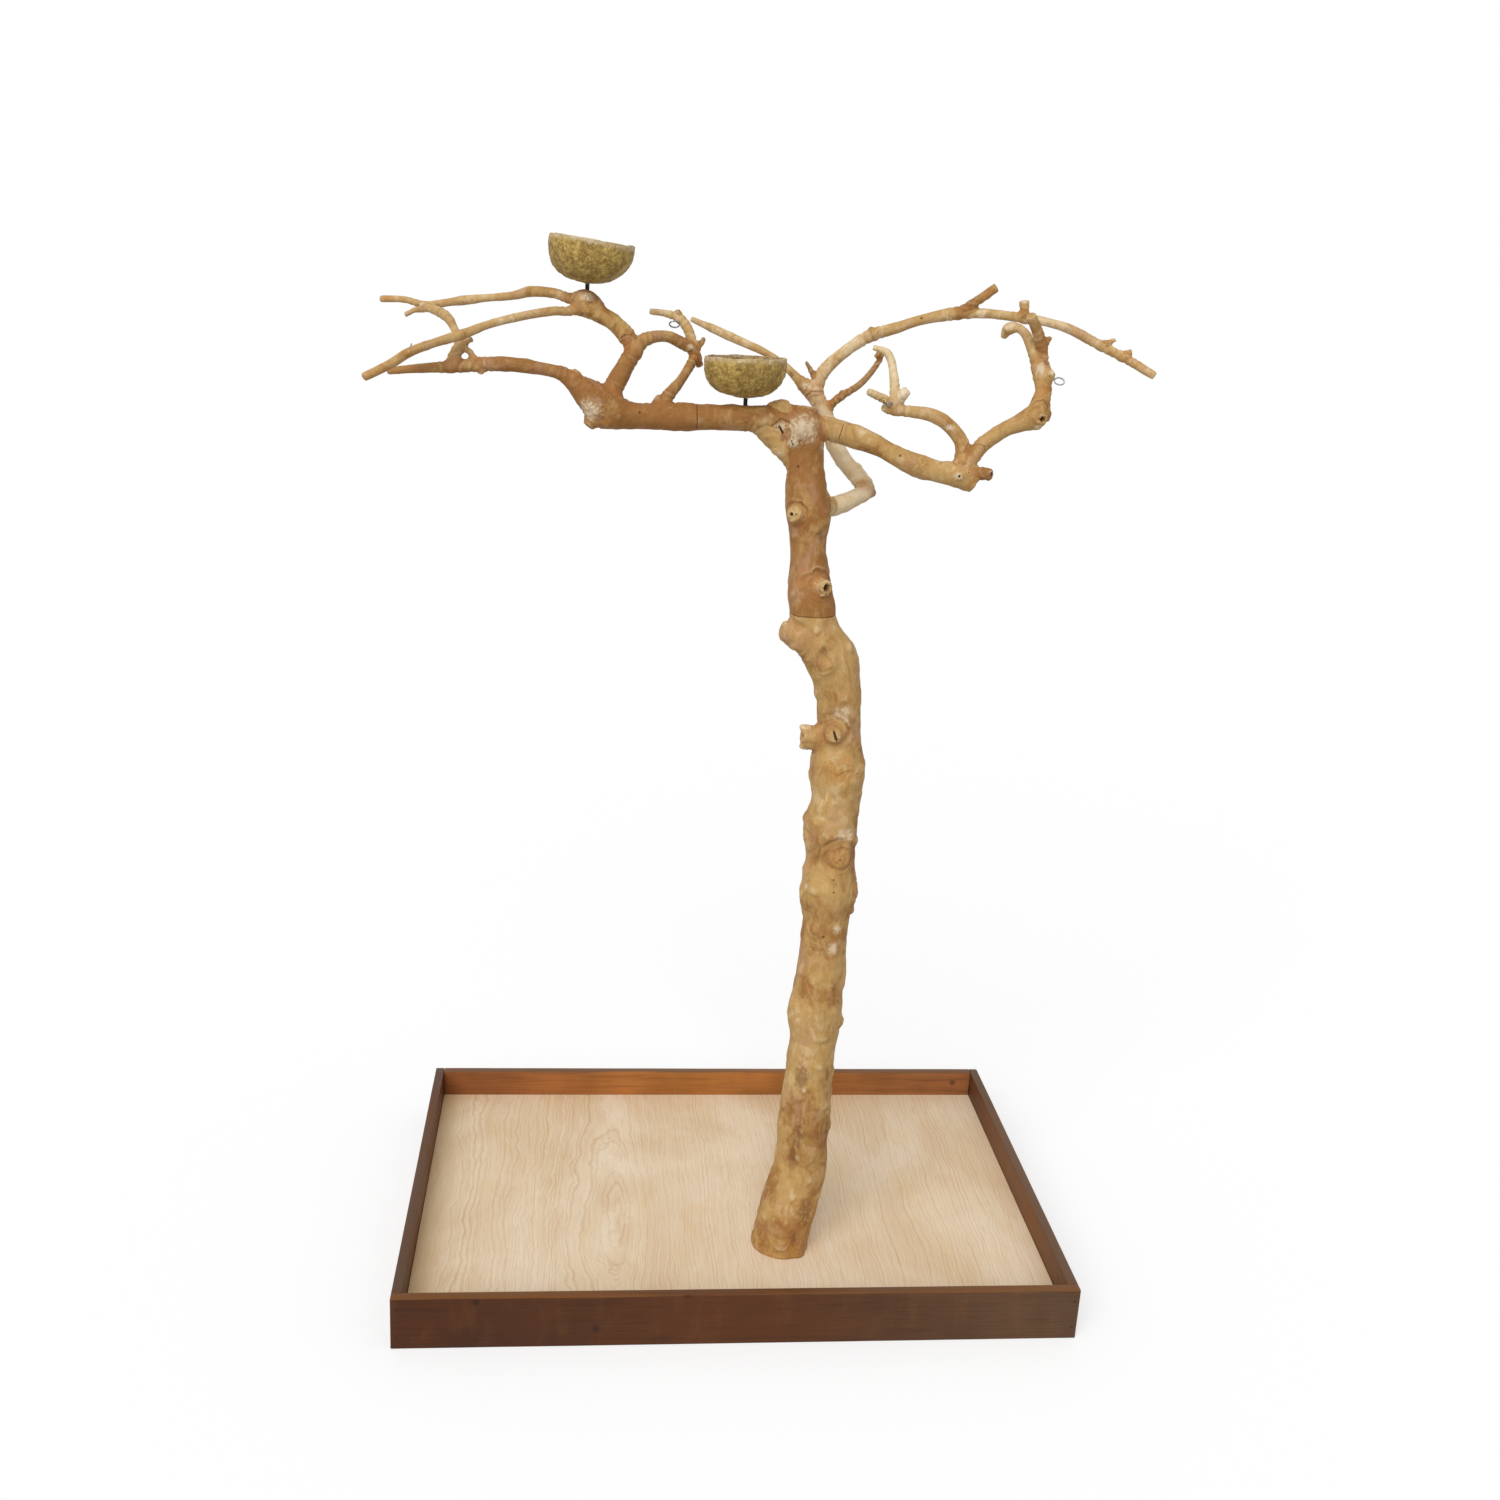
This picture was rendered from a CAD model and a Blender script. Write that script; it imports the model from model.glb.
import math
from collections import namedtuple

import bmesh
import bpy
import numpy as np
from mathutils import Matrix, Vector, noise


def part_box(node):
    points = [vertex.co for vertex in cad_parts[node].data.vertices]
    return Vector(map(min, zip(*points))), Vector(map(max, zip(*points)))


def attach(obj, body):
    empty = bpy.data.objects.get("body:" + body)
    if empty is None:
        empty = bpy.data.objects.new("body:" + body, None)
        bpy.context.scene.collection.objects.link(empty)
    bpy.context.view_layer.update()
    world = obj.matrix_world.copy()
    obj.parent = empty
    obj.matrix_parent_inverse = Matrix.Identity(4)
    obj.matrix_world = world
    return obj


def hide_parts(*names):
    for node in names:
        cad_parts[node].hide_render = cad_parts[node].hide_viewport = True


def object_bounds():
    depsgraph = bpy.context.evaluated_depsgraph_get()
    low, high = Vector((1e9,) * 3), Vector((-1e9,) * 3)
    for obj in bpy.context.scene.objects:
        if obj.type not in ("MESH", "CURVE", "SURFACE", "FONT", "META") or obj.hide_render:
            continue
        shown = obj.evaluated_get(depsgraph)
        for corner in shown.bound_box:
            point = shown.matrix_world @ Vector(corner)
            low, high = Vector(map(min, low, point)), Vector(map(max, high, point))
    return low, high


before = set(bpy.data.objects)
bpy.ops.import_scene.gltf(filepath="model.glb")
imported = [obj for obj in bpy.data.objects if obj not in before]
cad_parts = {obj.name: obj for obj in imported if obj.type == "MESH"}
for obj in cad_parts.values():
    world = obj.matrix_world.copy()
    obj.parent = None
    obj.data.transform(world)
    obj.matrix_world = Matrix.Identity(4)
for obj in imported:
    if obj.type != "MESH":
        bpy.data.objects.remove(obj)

cad_low, cad_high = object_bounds()


# ------------------------------------------------------------------ tray boards
# Four softwood boards on edge, stained dark walnut and rubbed back along the arrises.
# The front board covers the side boards' ends, the back board stands between them, and
# two nails hold each corner.

def dye(red, green, blue):
    """A colour as a swatch gives it, from 0 to 255, turned into the light that it reflects."""
    parts = [value / 255 for value in (red, green, blue)]
    return [part / 12.92 if part <= 0.04045 else ((part + 0.055) / 1.055) ** 2.4
            for part in parts] + [1.0]


class Finish:
    """A surface being mixed: one method for each kind of step that the stand's finishes use."""

    # The places of a mix node's sockets for colours.
    FIRST_COLOUR, SECOND_COLOUR, MIXED_COLOUR = 6, 7, 2

    def __init__(self, name, **shine):
        self.material = bpy.data.materials.new(name)
        self.material.use_nodes = True
        self.tree = self.material.node_tree
        self.shader = self.tree.nodes["Principled BSDF"]
        for socket, value in shine.items():
            self.shader.inputs[socket.replace("_", " ")].default_value = value

    def feed(self, socket, value):
        """Link an earlier step to a socket, or set it to a plain value."""
        if isinstance(value, bpy.types.NodeSocket):
            self.tree.links.new(value, socket)
        else:
            socket.default_value = value

    def place(self, scale, shift=(0, 0, 0)):
        """The piece's own coordinates in metres, stretched by scale."""
        spot = self.tree.nodes.new("ShaderNodeTexCoord")
        return self.stretch(spot.outputs["Object"], scale, shift)

    def stretch(self, vector, scale, shift=(0, 0, 0)):
        step = self.tree.nodes.new("ShaderNodeMapping")
        self.feed(step.inputs["Vector"], vector)
        step.inputs["Scale"].default_value = scale
        step.inputs["Location"].default_value = shift
        return step.outputs["Vector"]

    def carried(self, name, output="Vector"):
        """A value that the mesh carries at each point."""
        step = self.tree.nodes.new("ShaderNodeAttribute")
        step.attribute_name = name
        return step.outputs[output]

    def cloud(self, vector, detail, rough, twist=0.0):
        """Smooth irregular variation between 0 and 1."""
        step = self.tree.nodes.new("ShaderNodeTexNoise")
        self.feed(step.inputs["Vector"], vector)
        for name, value in (("Scale", 1.0), ("Detail", detail), ("Roughness", rough),
                            ("Distortion", twist)):
            step.inputs[name].default_value = value
        return step.outputs["Fac"]

    def cells(self, vector):
        """Distance from the nearest of many scattered points."""
        step = self.tree.nodes.new("ShaderNodeTexVoronoi")
        self.feed(step.inputs["Vector"], vector)
        step.inputs["Scale"].default_value = 1.0
        return step.outputs["Distance"]

    def span(self, value, low, high, start=0.0, end=1.0):
        """Value from low to high becomes start to end, and stays there outside."""
        step = self.tree.nodes.new("ShaderNodeMapRange")
        step.interpolation_type = "SMOOTHSTEP"
        for name, number in (("Value", value), ("From Min", low), ("From Max", high),
                             ("To Min", start), ("To Max", end)):
            self.feed(step.inputs[name], number)
        return step.outputs["Result"]

    def sum(self, kind, first, second):
        """Plain arithmetic on two values: ADD, MULTIPLY, SUBTRACT and so on."""
        step = self.tree.nodes.new("ShaderNodeMath")
        step.operation = kind
        self.feed(step.inputs[0], first)
        self.feed(step.inputs[1], second)
        return step.outputs["Value"]

    def tint(self, share, first, second, kind="MIX"):
        """First colour turned into second by share."""
        step = self.tree.nodes.new("ShaderNodeMix")
        step.data_type = "RGBA"
        step.blend_type = kind
        self.feed(step.inputs["Factor"], share)
        self.feed(step.inputs[self.FIRST_COLOUR], first)
        self.feed(step.inputs[self.SECOND_COLOUR], second)
        return step.outputs[self.MIXED_COLOUR]

    def split(self, vector, axis):
        """One coordinate of a vector, X, Y or Z."""
        step = self.tree.nodes.new("ShaderNodeSeparateXYZ")
        self.feed(step.inputs["Vector"], vector)
        return step.outputs[axis]

    def relief(self, height, depth):
        """Raises and sinks the surface's shading by height, depth metres in all."""
        step = self.tree.nodes.new("ShaderNodeBump")
        step.inputs["Distance"].default_value = depth
        self.feed(step.inputs["Height"], height)
        return step.outputs["Normal"]

    def finish(self, colour, rough, normal):
        """Join the last steps to the surface and hand over the material."""
        self.feed(self.shader.inputs["Base Color"], colour)
        self.feed(self.shader.inputs["Roughness"], rough)
        self.feed(self.shader.inputs["Normal"], normal)
        return self.material


def dress(node, material):
    """Give a carried-over solid its finish."""
    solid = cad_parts[node]
    solid.data.materials.clear()
    solid.data.materials.append(material)


def put_up(name, mesh, material, body, stands_for):
    """Hang a finished mesh on its body, with its finish, in place of its plain solid."""
    piece = bpy.data.objects.new(name, mesh)
    bpy.context.scene.collection.objects.link(piece)
    mesh.materials.clear()
    mesh.materials.append(material)
    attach(piece, body)
    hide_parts(stands_for)


BOARD_ARRIS = 0.0013
BOARD_STEP = 0.012
PLANE_WAVE = 0.00035
LONG_WAVES, SHORT_WAVES = 14, 60        # to the metre


def planed_board(low, high):
    """A board with rounded arrises and the faint waves that planing and sanding leave."""
    board = bmesh.new()
    bmesh.ops.create_cube(board, size=1)
    size, middle = high - low, (high + low) / 2
    for corner in board.verts:
        corner.co = Vector(part * side for part, side in zip(corner.co, size)) + middle
    bmesh.ops.bevel(board, geom=list(board.edges), offset=BOARD_ARRIS, segments=3,
                    profile=0.5, affect="EDGES", clamp_overlap=True)
    for axis in range(3):
        for index in range(1, int(size[axis] / BOARD_STEP)):
            spot = low.copy()
            spot[axis] += index * BOARD_STEP
            way = [0, 0, 0]
            way[axis] = 1
            bmesh.ops.bisect_plane(board, geom=board.verts[:] + board.edges[:] + board.faces[:],
                                   plane_co=spot, plane_no=way)
    board.normal_update()
    for point in board.verts:
        wave = 0.5 + 0.35 * noise.noise(point.co * LONG_WAVES)
        wave += 0.15 * noise.noise(point.co * SHORT_WAVES)
        point.co -= point.normal * (PLANE_WAVE * wave)
    mesh = bpy.data.meshes.new("planed_board")
    board.to_mesh(mesh)
    board.free()
    mesh.shade_smooth()
    return mesh


RUBBED_DOWN_TO = 0.0016
NEVER_WORN = 9.0


def walnut_stain(name, along, reach, colours, worn_from, worn):
    """Dark stain over softwood, streaked along the board, that thins along its top arris.

    The colours are three swatches: at the low end of the board, its middle and its high end,
    which lie reach metres from the stand's centre.  Above worn_from it is rubbed paler.
    """
    stain = Finish(name, Roughness=0.46, Specular_IOR_Level=0.2)
    grain, fibre = [70.0] * 3, [420.0] * 3
    grain["XYZ".index(along)], fibre["XYZ".index(along)] = 3.4, 11.0
    streaks = stain.cloud(stain.place(grain), 5, 0.62, 0.7)
    fibres = stain.cloud(stain.place(fibre), 3, 0.6)
    drifts = stain.cloud(stain.place((7, 7, 7), (3.1, 0.4, 0)), 3, 0.6)
    dabs = stain.cloud(stain.place((36, 36, 15), (0.3, 2.2, 1)), 3, 0.6)
    run = stain.split(stain.place((1, 1, 1)), along)
    low, middle, high = [dye(*colour) for colour in colours]
    body = stain.tint(stain.span(run, -reach, 0), low, middle)
    body = stain.tint(stain.span(run, 0, reach), body, high)
    body = stain.tint(stain.span(drifts, 0.35, 0.65, 0.3, 0), body, dye(44, 24, 12))
    body = stain.tint(stain.span(dabs, 0.5, 0.75, 0, 0.1), body, dye(150, 100, 62))
    body = stain.tint(stain.span(streaks, 0.5, 0.72, 0, 0.4), body, dye(58, 32, 16))
    body = stain.tint(stain.span(fibres, 0.4, 0.8, 0, 0.3), body, dye(46, 26, 14), "MULTIPLY")
    specks = stain.cells(stain.place((15, 15, 15), (0.2, 0.7, 0.4)))
    body = stain.tint(stain.span(specks, 0.04, 0.13, 0.7, 0), body, dye(42, 22, 12))
    ragged = stain.sum("ADD", stain.split(stain.place((1, 1, 1)), "Z"),
                       stain.span(streaks, 0.3, 0.7, -0.0008, 0.0008))
    thinned = stain.span(ragged, worn_from - RUBBED_DOWN_TO, worn_from, 0, 0.75)
    body = stain.tint(thinned, body, dye(*worn))
    height = stain.sum("ADD", streaks, stain.sum("MULTIPLY", fibres, 0.6))
    rough = stain.span(drifts, 0.3, 0.7, 0.4, 0.58)
    return stain.finish(body, rough, stain.relief(height, 0.0004))


BOARDS = (
    ("front", "X", ((80, 43, 20), (92, 52, 26), (101, 73, 50)), (124, 78, 32)),
    ("back", "X", ((152, 92, 50), (184, 118, 58), (160, 102, 60)), (96, 72, 50)),
    ("left", "Y", ((98, 56, 27), (114, 68, 34), (96, 56, 30)), (90, 66, 47)),
    ("right", "Y", ((122, 76, 42), (134, 84, 46), (100, 62, 36)), (98, 76, 56)))
for side, along, colours, worn in BOARDS:
    low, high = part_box(side + "_board")
    reach = high["XYZ".index(along)]
    side_stain = walnut_stain("walnut_" + side, along, reach, colours, high.z, worn)
    put_up(side + "_tray_board", planed_board(low, high), side_stain, "stand",
           side + "_board")


# ------------------------------------------------------------------ corner nails
# Round wire nails through the board ends, punched just under the surface and touched in
# with the same stain, so that they hardly show.

dress("corner_nails", walnut_stain("stained_nail_heads", "X", 0.4,
                                   ((66, 38, 20), (74, 44, 24), (80, 56, 38)),
                                   NEVER_WORN, (130, 92, 56)))


# ------------------------------------------------------------------ veneered floor
# A plywood panel faced with pale oak veneer, its grain running from front to back.  It
# lies on the cleats and is screwed up from below.

FIGURE_PLACE = (-0.16, -0.04)
FIGURE_LENGTHENED = 0.13
VENEER_LINES = 290                      # to the metre
EDGE_STRIP = (-0.44, -0.39)


def oak_veneer():
    """Pale veneer cut flat: long nested arches left of the middle, fine lines either side."""
    oak = Finish("oak_veneer", Roughness=0.5, Specular_IOR_Level=0.3)
    lie = oak.place((1, 1, 1))
    across, along = oak.split(lie, "X"), oak.split(lie, "Y")
    sway = oak.cloud(oak.place((6, 4, 1)), 3, 0.55)
    waves = oak.cloud(oak.place((40, 34, 1), (0.4, 0.9, 0)), 3, 0.55)
    aside = oak.sum("SUBTRACT", across, FIGURE_PLACE[0])
    ahead = oak.sum("MULTIPLY", oak.sum("SUBTRACT", along, FIGURE_PLACE[1]), FIGURE_LENGTHENED)
    arch = oak.sum("SQRT", oak.sum("ADD", oak.sum("MULTIPLY", aside, aside),
                                   oak.sum("MULTIPLY", ahead, ahead)), 0)
    bent = oak.sum("ADD", arch, oak.sum("MULTIPLY", aside, 0.25))
    bent = oak.sum("ADD", bent, oak.sum("MULTIPLY", sway, 0.05))
    bent = oak.sum("ADD", bent, oak.sum("MULTIPLY", waves, 0.009))
    rings = oak.tree.nodes.new("ShaderNodeCombineXYZ")
    oak.feed(rings.inputs["X"], bent)
    lines = oak.cloud(oak.stretch(rings.outputs["Vector"], (VENEER_LINES, 1, 1)), 4, 0.7)
    pores = oak.cloud(oak.place((640, 26, 20)), 3, 0.65)
    drift = oak.cloud(oak.place((6, 3.4, 1), (0.6, 2.1, 0)), 4, 0.6, 0.5)
    patch = oak.cloud(oak.place((17, 9, 1), (3.6, 0.1, 0)), 3, 0.6, 0.5)
    body = oak.tint(oak.span(drift, 0.34, 0.66), dye(238, 218, 190), dye(226, 200, 164))
    body = oak.tint(oak.span(patch, 0.52, 0.74, 0, 0.4), body, dye(228, 196, 144))
    strong = oak.span(drift, 0.36, 0.64, 0.45, 0.8)
    share = oak.sum("MULTIPLY", oak.span(lines, 0.44, 0.66), strong)
    body = oak.tint(share, body, dye(204, 164, 120))
    body = oak.tint(oak.span(pores, 0.5, 0.72, 0, 0.35), body, dye(200, 158, 112))
    middle = oak.sum("MULTIPLY", oak.span(arch, 0.008, 0.05, 0.5, 0), oak.span(patch, 0.4, 0.6))
    body = oak.tint(middle, body, dye(246, 232, 206))
    body = oak.tint(oak.span(across, *EDGE_STRIP, 0.5, 0), body, dye(220, 184, 124))
    height = oak.sum("ADD", lines, oak.sum("MULTIPLY", pores, -0.8))
    return oak.finish(body, oak.span(lines, 0.3, 0.7, 0.44, 0.56), oak.relief(height, 0.0002))


dress("floor_panel", oak_veneer())


# ------------------------------------------------------------------ cleats and brace
# Planed pine strips screwed round the inside of the boards, which carry the floor, and a
# birch-ply pad under the trunk that spreads the lag screws' pull.  All are left bare.

def bare_pine(name, along, pale, dark):
    """Unfinished planed softwood: broad growth lines, a few amber streaks, raised fibres."""
    pine = Finish(name, Roughness=0.62, Specular_IOR_Level=0.3)
    lines_at, fibres_at = [90.0] * 3, [500.0] * 3
    lines_at["XYZ".index(along)] = 3.0
    fibres_at["XYZ".index(along)] = 18.0
    lines = pine.cloud(pine.place(lines_at), 3, 0.55, 0.4)
    fibres = pine.cloud(pine.place(fibres_at), 3, 0.6)
    body = pine.tint(pine.span(lines, 0.35, 0.68), dye(*pale), dye(*dark))
    body = pine.tint(pine.span(fibres, 0.4, 0.75, 0, 0.3), body, dye(150, 108, 66), "MULTIPLY")
    height = pine.sum("ADD", lines, fibres)
    return pine.finish(body, pine.span(fibres, 0.3, 0.7, 0.55, 0.7), pine.relief(height, 0.0003))


for cleat, along in (("front", "X"), ("back", "X"), ("left", "Y"), ("right", "Y")):
    pine = bare_pine(cleat + "_cleat_pine", along, (222, 190, 142), (196, 152, 98))
    dress(cleat + "_cleat", pine)
dress("foot_brace", bare_pine("brace_ply", "X", (214, 186, 146), (190, 154, 108)))


# ------------------------------------------------------------------ screws, lag screws, washers
# Bright zinc-plated wood screws in the cleats, floor and brace, and four hexagon lag screws
# with washers that go up through the brace and the floor into the trunk's foot.

def plated_steel(name, bright, dull, rough):
    """Plated metal: a faint yellow-blue bloom, with tool marks and dulled patches."""
    steel = Finish(name, Metallic=1.0, Roughness=rough)
    bloom = steel.cloud(steel.place((120, 120, 120)), 3, 0.6)
    marks = steel.cloud(steel.place((900, 900, 260)), 2, 0.5)
    body = steel.tint(steel.span(bloom, 0.3, 0.7), dye(*bright), dye(*dull))
    return steel.finish(body, steel.span(marks, 0.3, 0.7, rough * 0.75, rough * 1.3),
                        steel.relief(marks, 0.0001))


zinc = plated_steel("zinc_plate", (196, 196, 190), (158, 158, 150), 0.34)
for fixing in ("cleat_screws", "floor_screws", "brace_screws", "trunk_lag_screws",
               "trunk_washers"):
    dress(fixing, zinc)


# ------------------------------------------------------------------ lower trunk
# A crooked hardwood stem, stripped of bark and blasted clean, with healed knots and hollow
# branch stubs.  It is sawn level at the foot and at the seam, and four lag screws hold it.

MILLIMETRE = 0.001
TRUNK_FOOT = Vector((0.070, -0.131, 0.034))

# Each limb is a run of stations measured on the tree from the trunk's foot: x, y, z and
# radius in millimetres.  Order tells it from the limb it grows out of, and tone runs from
# bleached (-1) through tan (0) to amber (1).  Each end is grown into another limb, a free
# tip, or sawn for a joint, square to the way that is given.
Limb = namedtuple("Limb", "order tone start end stations")
UPRIGHT = (0.0, 0.0, 1.0)

LOWER_TRUNK = Limb(0, 0.3, UPRIGHT, UPRIGHT, (
    (0, 0, 0, 40), (4, 0, 37, 40), (11, 1, 77, 41.5), (20, 3, 118, 39), (23, 5, 160, 36.5),
    (24, 8, 215, 37), (27, 12, 291, 33), (30, 15, 321, 34), (30, 17, 357, 38.5),
    (32, 20, 396, 34.5), (36, 25, 456, 32.5), (38, 29, 494, 32), (38, 32, 529, 40),
    (39, 37, 578, 33.5), (36, 40, 613, 36.5), (41, 45, 659, 34), (41, 48, 692, 38),
    (41, 53, 735, 31.5), (40, 57, 772, 29), (36, 61, 812, 31), (27, 64, 843, 35),
    (6, 67, 876, 31.5), (-3, 70, 905, 30.5)))


def snag(root, tip, tone=0.0):
    """A short stub or boss on a limb, as base and tip, drawn in a little at the middle."""
    middle = tuple((a + b) / 2 for a, b in zip(root, tip))
    return Limb(1, tone, "grown", "tip", (root, middle, tip))


LOWER_SNAGS = (
    Limb(1, 0.0, "grown", "tip",
         ((-2, 66, 874, 25), (-22, 64, 878, 21.5), (-34, 63, 881, 16.5), (-44, 62, 883, 10.5))),
    snag((38, 48, 752, 18), (26, 16, 757, 11)),
    Limb(1, -0.1, "grown", "tip", ((29, 53, 743, 17.5), (6, 51, 742, 16.5), (-9, 50, 743, 13))),
    snag((-2, 48, 752, 8), (-12, 47, 758, 4), -0.3),
    snag((0, 48, 734, 8), (-11, 46, 729, 3.5), -0.3),
    snag((42, 36, 585, 20), (46, 4, 590, 14)),
    snag((28, 64, 845, 12), (10, 34, 846, 5)),
    snag((36, 30, 512, 16), (74, 28, 512, 8)), snag((38, 30, 532, 15), (73, 22, 538, 8)))

# Each knot is a kind of mark, a place on the tree in millimetres, snapped to the wood, how
# far it reaches, and how high it stands (for stains, how far it runs up and down).
Knot = namedtuple("Knot", "kind place reach height")

LOWER_KNOTS = (
    Knot("slit", (29, 12, 754), 14, 2.6), Knot("arch", (32, 12, 750), 21, 1.5),
    Knot("arch", (34, 14, 748), 29, 0.9), Knot("hollow", (-10, 42, 745), 8, 1.4),
    Knot("rough", (37, 13, 711), 20, 1.3), Knot("bump", (69, 24, 706), 10, 3.4),
    Knot("bump", (4, 51, 689), 9, 2.2), Knot("bump", (2, 48, 633), 10, 2.6),
    Knot("bump", (1, 31, 612), 8, 2.2), Knot("bump", (4, 33, 561), 14, 2.6),
    Knot("bump", (44, -4, 591), 18, 3.0), Knot("healed", (46, -4, 589), 11, 1.4),
    Knot("arch", (46, 0, 588), 26, 1.3),
    Knot("pit", (39, -1, 560), 2.6, 0.8), Knot("pit", (40, -7, 544), 2.6, 0.8),
    Knot("bump", (72, 14, 534), 13, 2.2), Knot("pit", (76, 22, 514), 5, 1.5),
    Knot("pit", (30, -4, 478), 3, 0.8), Knot("bump", (13, 28, 846), 7, 2.0),
    Knot("bump", (-36, 49, 878), 12, 2.4), Knot("bump", (-30, 44, 856), 9, 2.0),
    Knot("bump", (64, 3, 352), 11, 2.8), Knot("bump", (-6, 4, 372), 11, 2.4),
    Knot("bump", (20, 22, 655), 12, 1.8),
    Knot("rough", (20, 0, 470), 22, 0.7), Knot("rough", (25, -30, 60), 24, 0.8),
    Knot("bleach", (52, 10, 620), 16, 9), Knot("bleach", (4, 16, 543), 5, 5),
    Knot("bleach", (43, -6, 462), 8, 9), Knot("bleach", (49, -2, 490), 7, 8),
    Knot("bleach", (15, -23, 259), 3, 4), Knot("bleach", (40, 20, 782), 16, 12),
    Knot("stain", (13, 33, 865), 8, 7), Knot("stain", (12, -18, 276), 10, 24),
    Knot("stain", (10, -29, 190), 8, 28), Knot("stain", (53, -14, 207), 4, 60),
    Knot("stain", (6, -28, 154), 6, 22), Knot("stain", (48, -13, 277), 4, 14),
    Knot("stain", (27, -36, 74), 11, 26), Knot("stain", (15, -36, 30), 9, 12),
    Knot("rust", (40, 14, 708), 24, 22), Knot("rust", (27, -36, 50), 34, 52),
    Knot("rust", (44, -4, 588), 16, 16), Knot("healed", (30, 95, 640), 14, 3.2),
    Knot("hollow", (60, 62, 420), 10, 2.4), Knot("healed", (-6, 55, 330), 12, 2.6),
    Knot("slit", (50, 45, 215), 11, 2.2), Knot("stain", (10, 48, 150), 8, 46))

SAW_OVERRUN = 0.016
SAW_KERF = 0.0004
SAW_REACH = 0.06


def sawn(end):
    """A sawn end is given as a way, and the others as a word."""
    return not isinstance(end, str)


def walk_limb(limb, pace):
    """Even steps along a limb: places, radii, ways and the distance walked, in metres.

    The walk bends evenly through the stations, and leaves a sawn end along its given way.
    """
    rows = np.array(limb.stations, float) * MILLIMETRE
    rows[:, :3] += TRUNK_FOOT
    gaps = np.linalg.norm(np.diff(rows[:, :3], axis=0), axis=1)
    marks = np.concatenate([[0], np.cumsum(gaps)])
    rates = np.empty_like(rows)
    rates[1:-1] = (rows[2:] - rows[:-2]) / (marks[2:] - marks[:-2])[:, None]
    rates[0] = (rows[1] - rows[0]) / gaps[0]
    rates[-1] = (rows[-1] - rows[-2]) / gaps[-1]
    for row, end in ((0, limb.start), (-1, limb.end)):
        if sawn(end):
            rates[row, :3] = end
    even = np.linspace(0, marks[-1], max(4, math.ceil(marks[-1] / pace)) + 1)
    left = np.clip(np.searchsorted(marks, even, "right") - 1, 0, len(gaps) - 1)
    span = gaps[left][:, None]
    share = ((even - marks[left]) / gaps[left])[:, None]
    step = rows[left + 1] - rows[left]
    first_bend = rates[left] * span - step
    last_bend = step - rates[left + 1] * span
    bend = (1 - share) * first_bend + share * last_bend
    walked = rows[left] + step * share + share * (1 - share) * bend
    ways = (step + (1 - 2 * share) * bend + share * (1 - share) * (last_bend - first_bend))[:, :3]
    ways /= np.linalg.norm(ways, axis=1)[:, None]
    return walked[:, :3], walked[:, 3], ways, even


def steady_sides(ways):
    """Two directions square to a limb at every step, which turn as little as they can."""
    side = np.cross(ways[0], (0.0, 1.0, 0.0))
    if np.linalg.norm(side) < 0.1:
        side = np.cross(ways[0], (0.0, 0.0, 1.0))
    sides = []
    for way in ways:
        side = side - way * np.dot(side, way)
        side = side / np.linalg.norm(side)
        sides.append(side)
    sides = np.array(sides)
    return sides, np.cross(ways, sides)


AROUND_LIMB = 32


def tube_faces(first, rings, around):
    """The faces of a tube whose rings of points start at first, with a cap on each end."""
    faces = []
    for ring in range(rings - 1):
        for step in range(around):
            after = (step + 1) % around
            low, high = first + ring * around, first + (ring + 1) * around
            faces.append((low + step, low + after, high + after, high + step))
    faces.append(tuple(first + step for step in reversed(range(around))))
    faces.append(tuple(first + (rings - 1) * around + step for step in range(around)))
    return faces


def limb_tube(limb, pace, points, faces):
    """Add a limb's plain round skin, closed at both ends, to a list of points and faces."""
    places, radii, ways = walk_limb(limb, pace)[:3]
    if sawn(limb.start):
        places = np.vstack([places[0] - ways[0] * SAW_OVERRUN, places])
        radii, ways = np.append(radii[0], radii), np.vstack([ways[0], ways])
    if sawn(limb.end):
        places = np.vstack([places, places[-1] + ways[-1] * SAW_OVERRUN])
        radii, ways = np.append(radii, radii[-1]), np.vstack([ways, ways[-1]])
    turns = np.linspace(0, 2 * math.pi, AROUND_LIMB, endpoint=False)
    faces.extend(tube_faces(len(points), len(places), AROUND_LIMB))
    for place, radius, side, cross in zip(places, radii, *steady_sides(ways)):
        for turn in turns:
            points.append(place + radius * (math.cos(turn) * side + math.sin(turn) * cross))


def grown_together(limbs, skin):
    """One closed skin over several limbs that grow into each other, in squares of size skin."""
    points, faces = [], []
    for limb in limbs:
        limb_tube(limb, 2 * skin, points, faces)
    rough = bpy.data.meshes.new("rough_limbs")
    rough.from_pydata([tuple(point) for point in points], [], faces)
    holder = bpy.data.objects.new("rough_limbs", rough)
    bpy.context.scene.collection.objects.link(holder)
    remesh = holder.modifiers.new("skin", "REMESH")
    remesh.mode = "VOXEL"
    remesh.voxel_size = skin
    ready = holder.evaluated_get(bpy.context.evaluated_depsgraph_get())
    mesh = bpy.data.meshes.new_from_object(ready)
    bpy.data.objects.remove(holder)
    bpy.data.meshes.remove(rough)
    return mesh


def points_of(mesh):
    flat = np.empty(len(mesh.vertices) * 3)
    mesh.vertices.foreach_get("co", flat)
    return flat.reshape(-1, 3)


def set_points(mesh, points):
    mesh.vertices.foreach_set("co", points.astype(np.float32).ravel())
    mesh.update()


def edges_of(mesh):
    flat = np.empty(len(mesh.edges) * 2, np.int64)
    mesh.edges.foreach_get("vertices", flat)
    return flat.reshape(-1, 2)


def normals_of(mesh):
    flat = np.empty(len(mesh.vertices) * 3, np.float32)
    mesh.vertices.foreach_get("normal", flat)
    return flat.reshape(-1, 3).astype(float)


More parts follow.
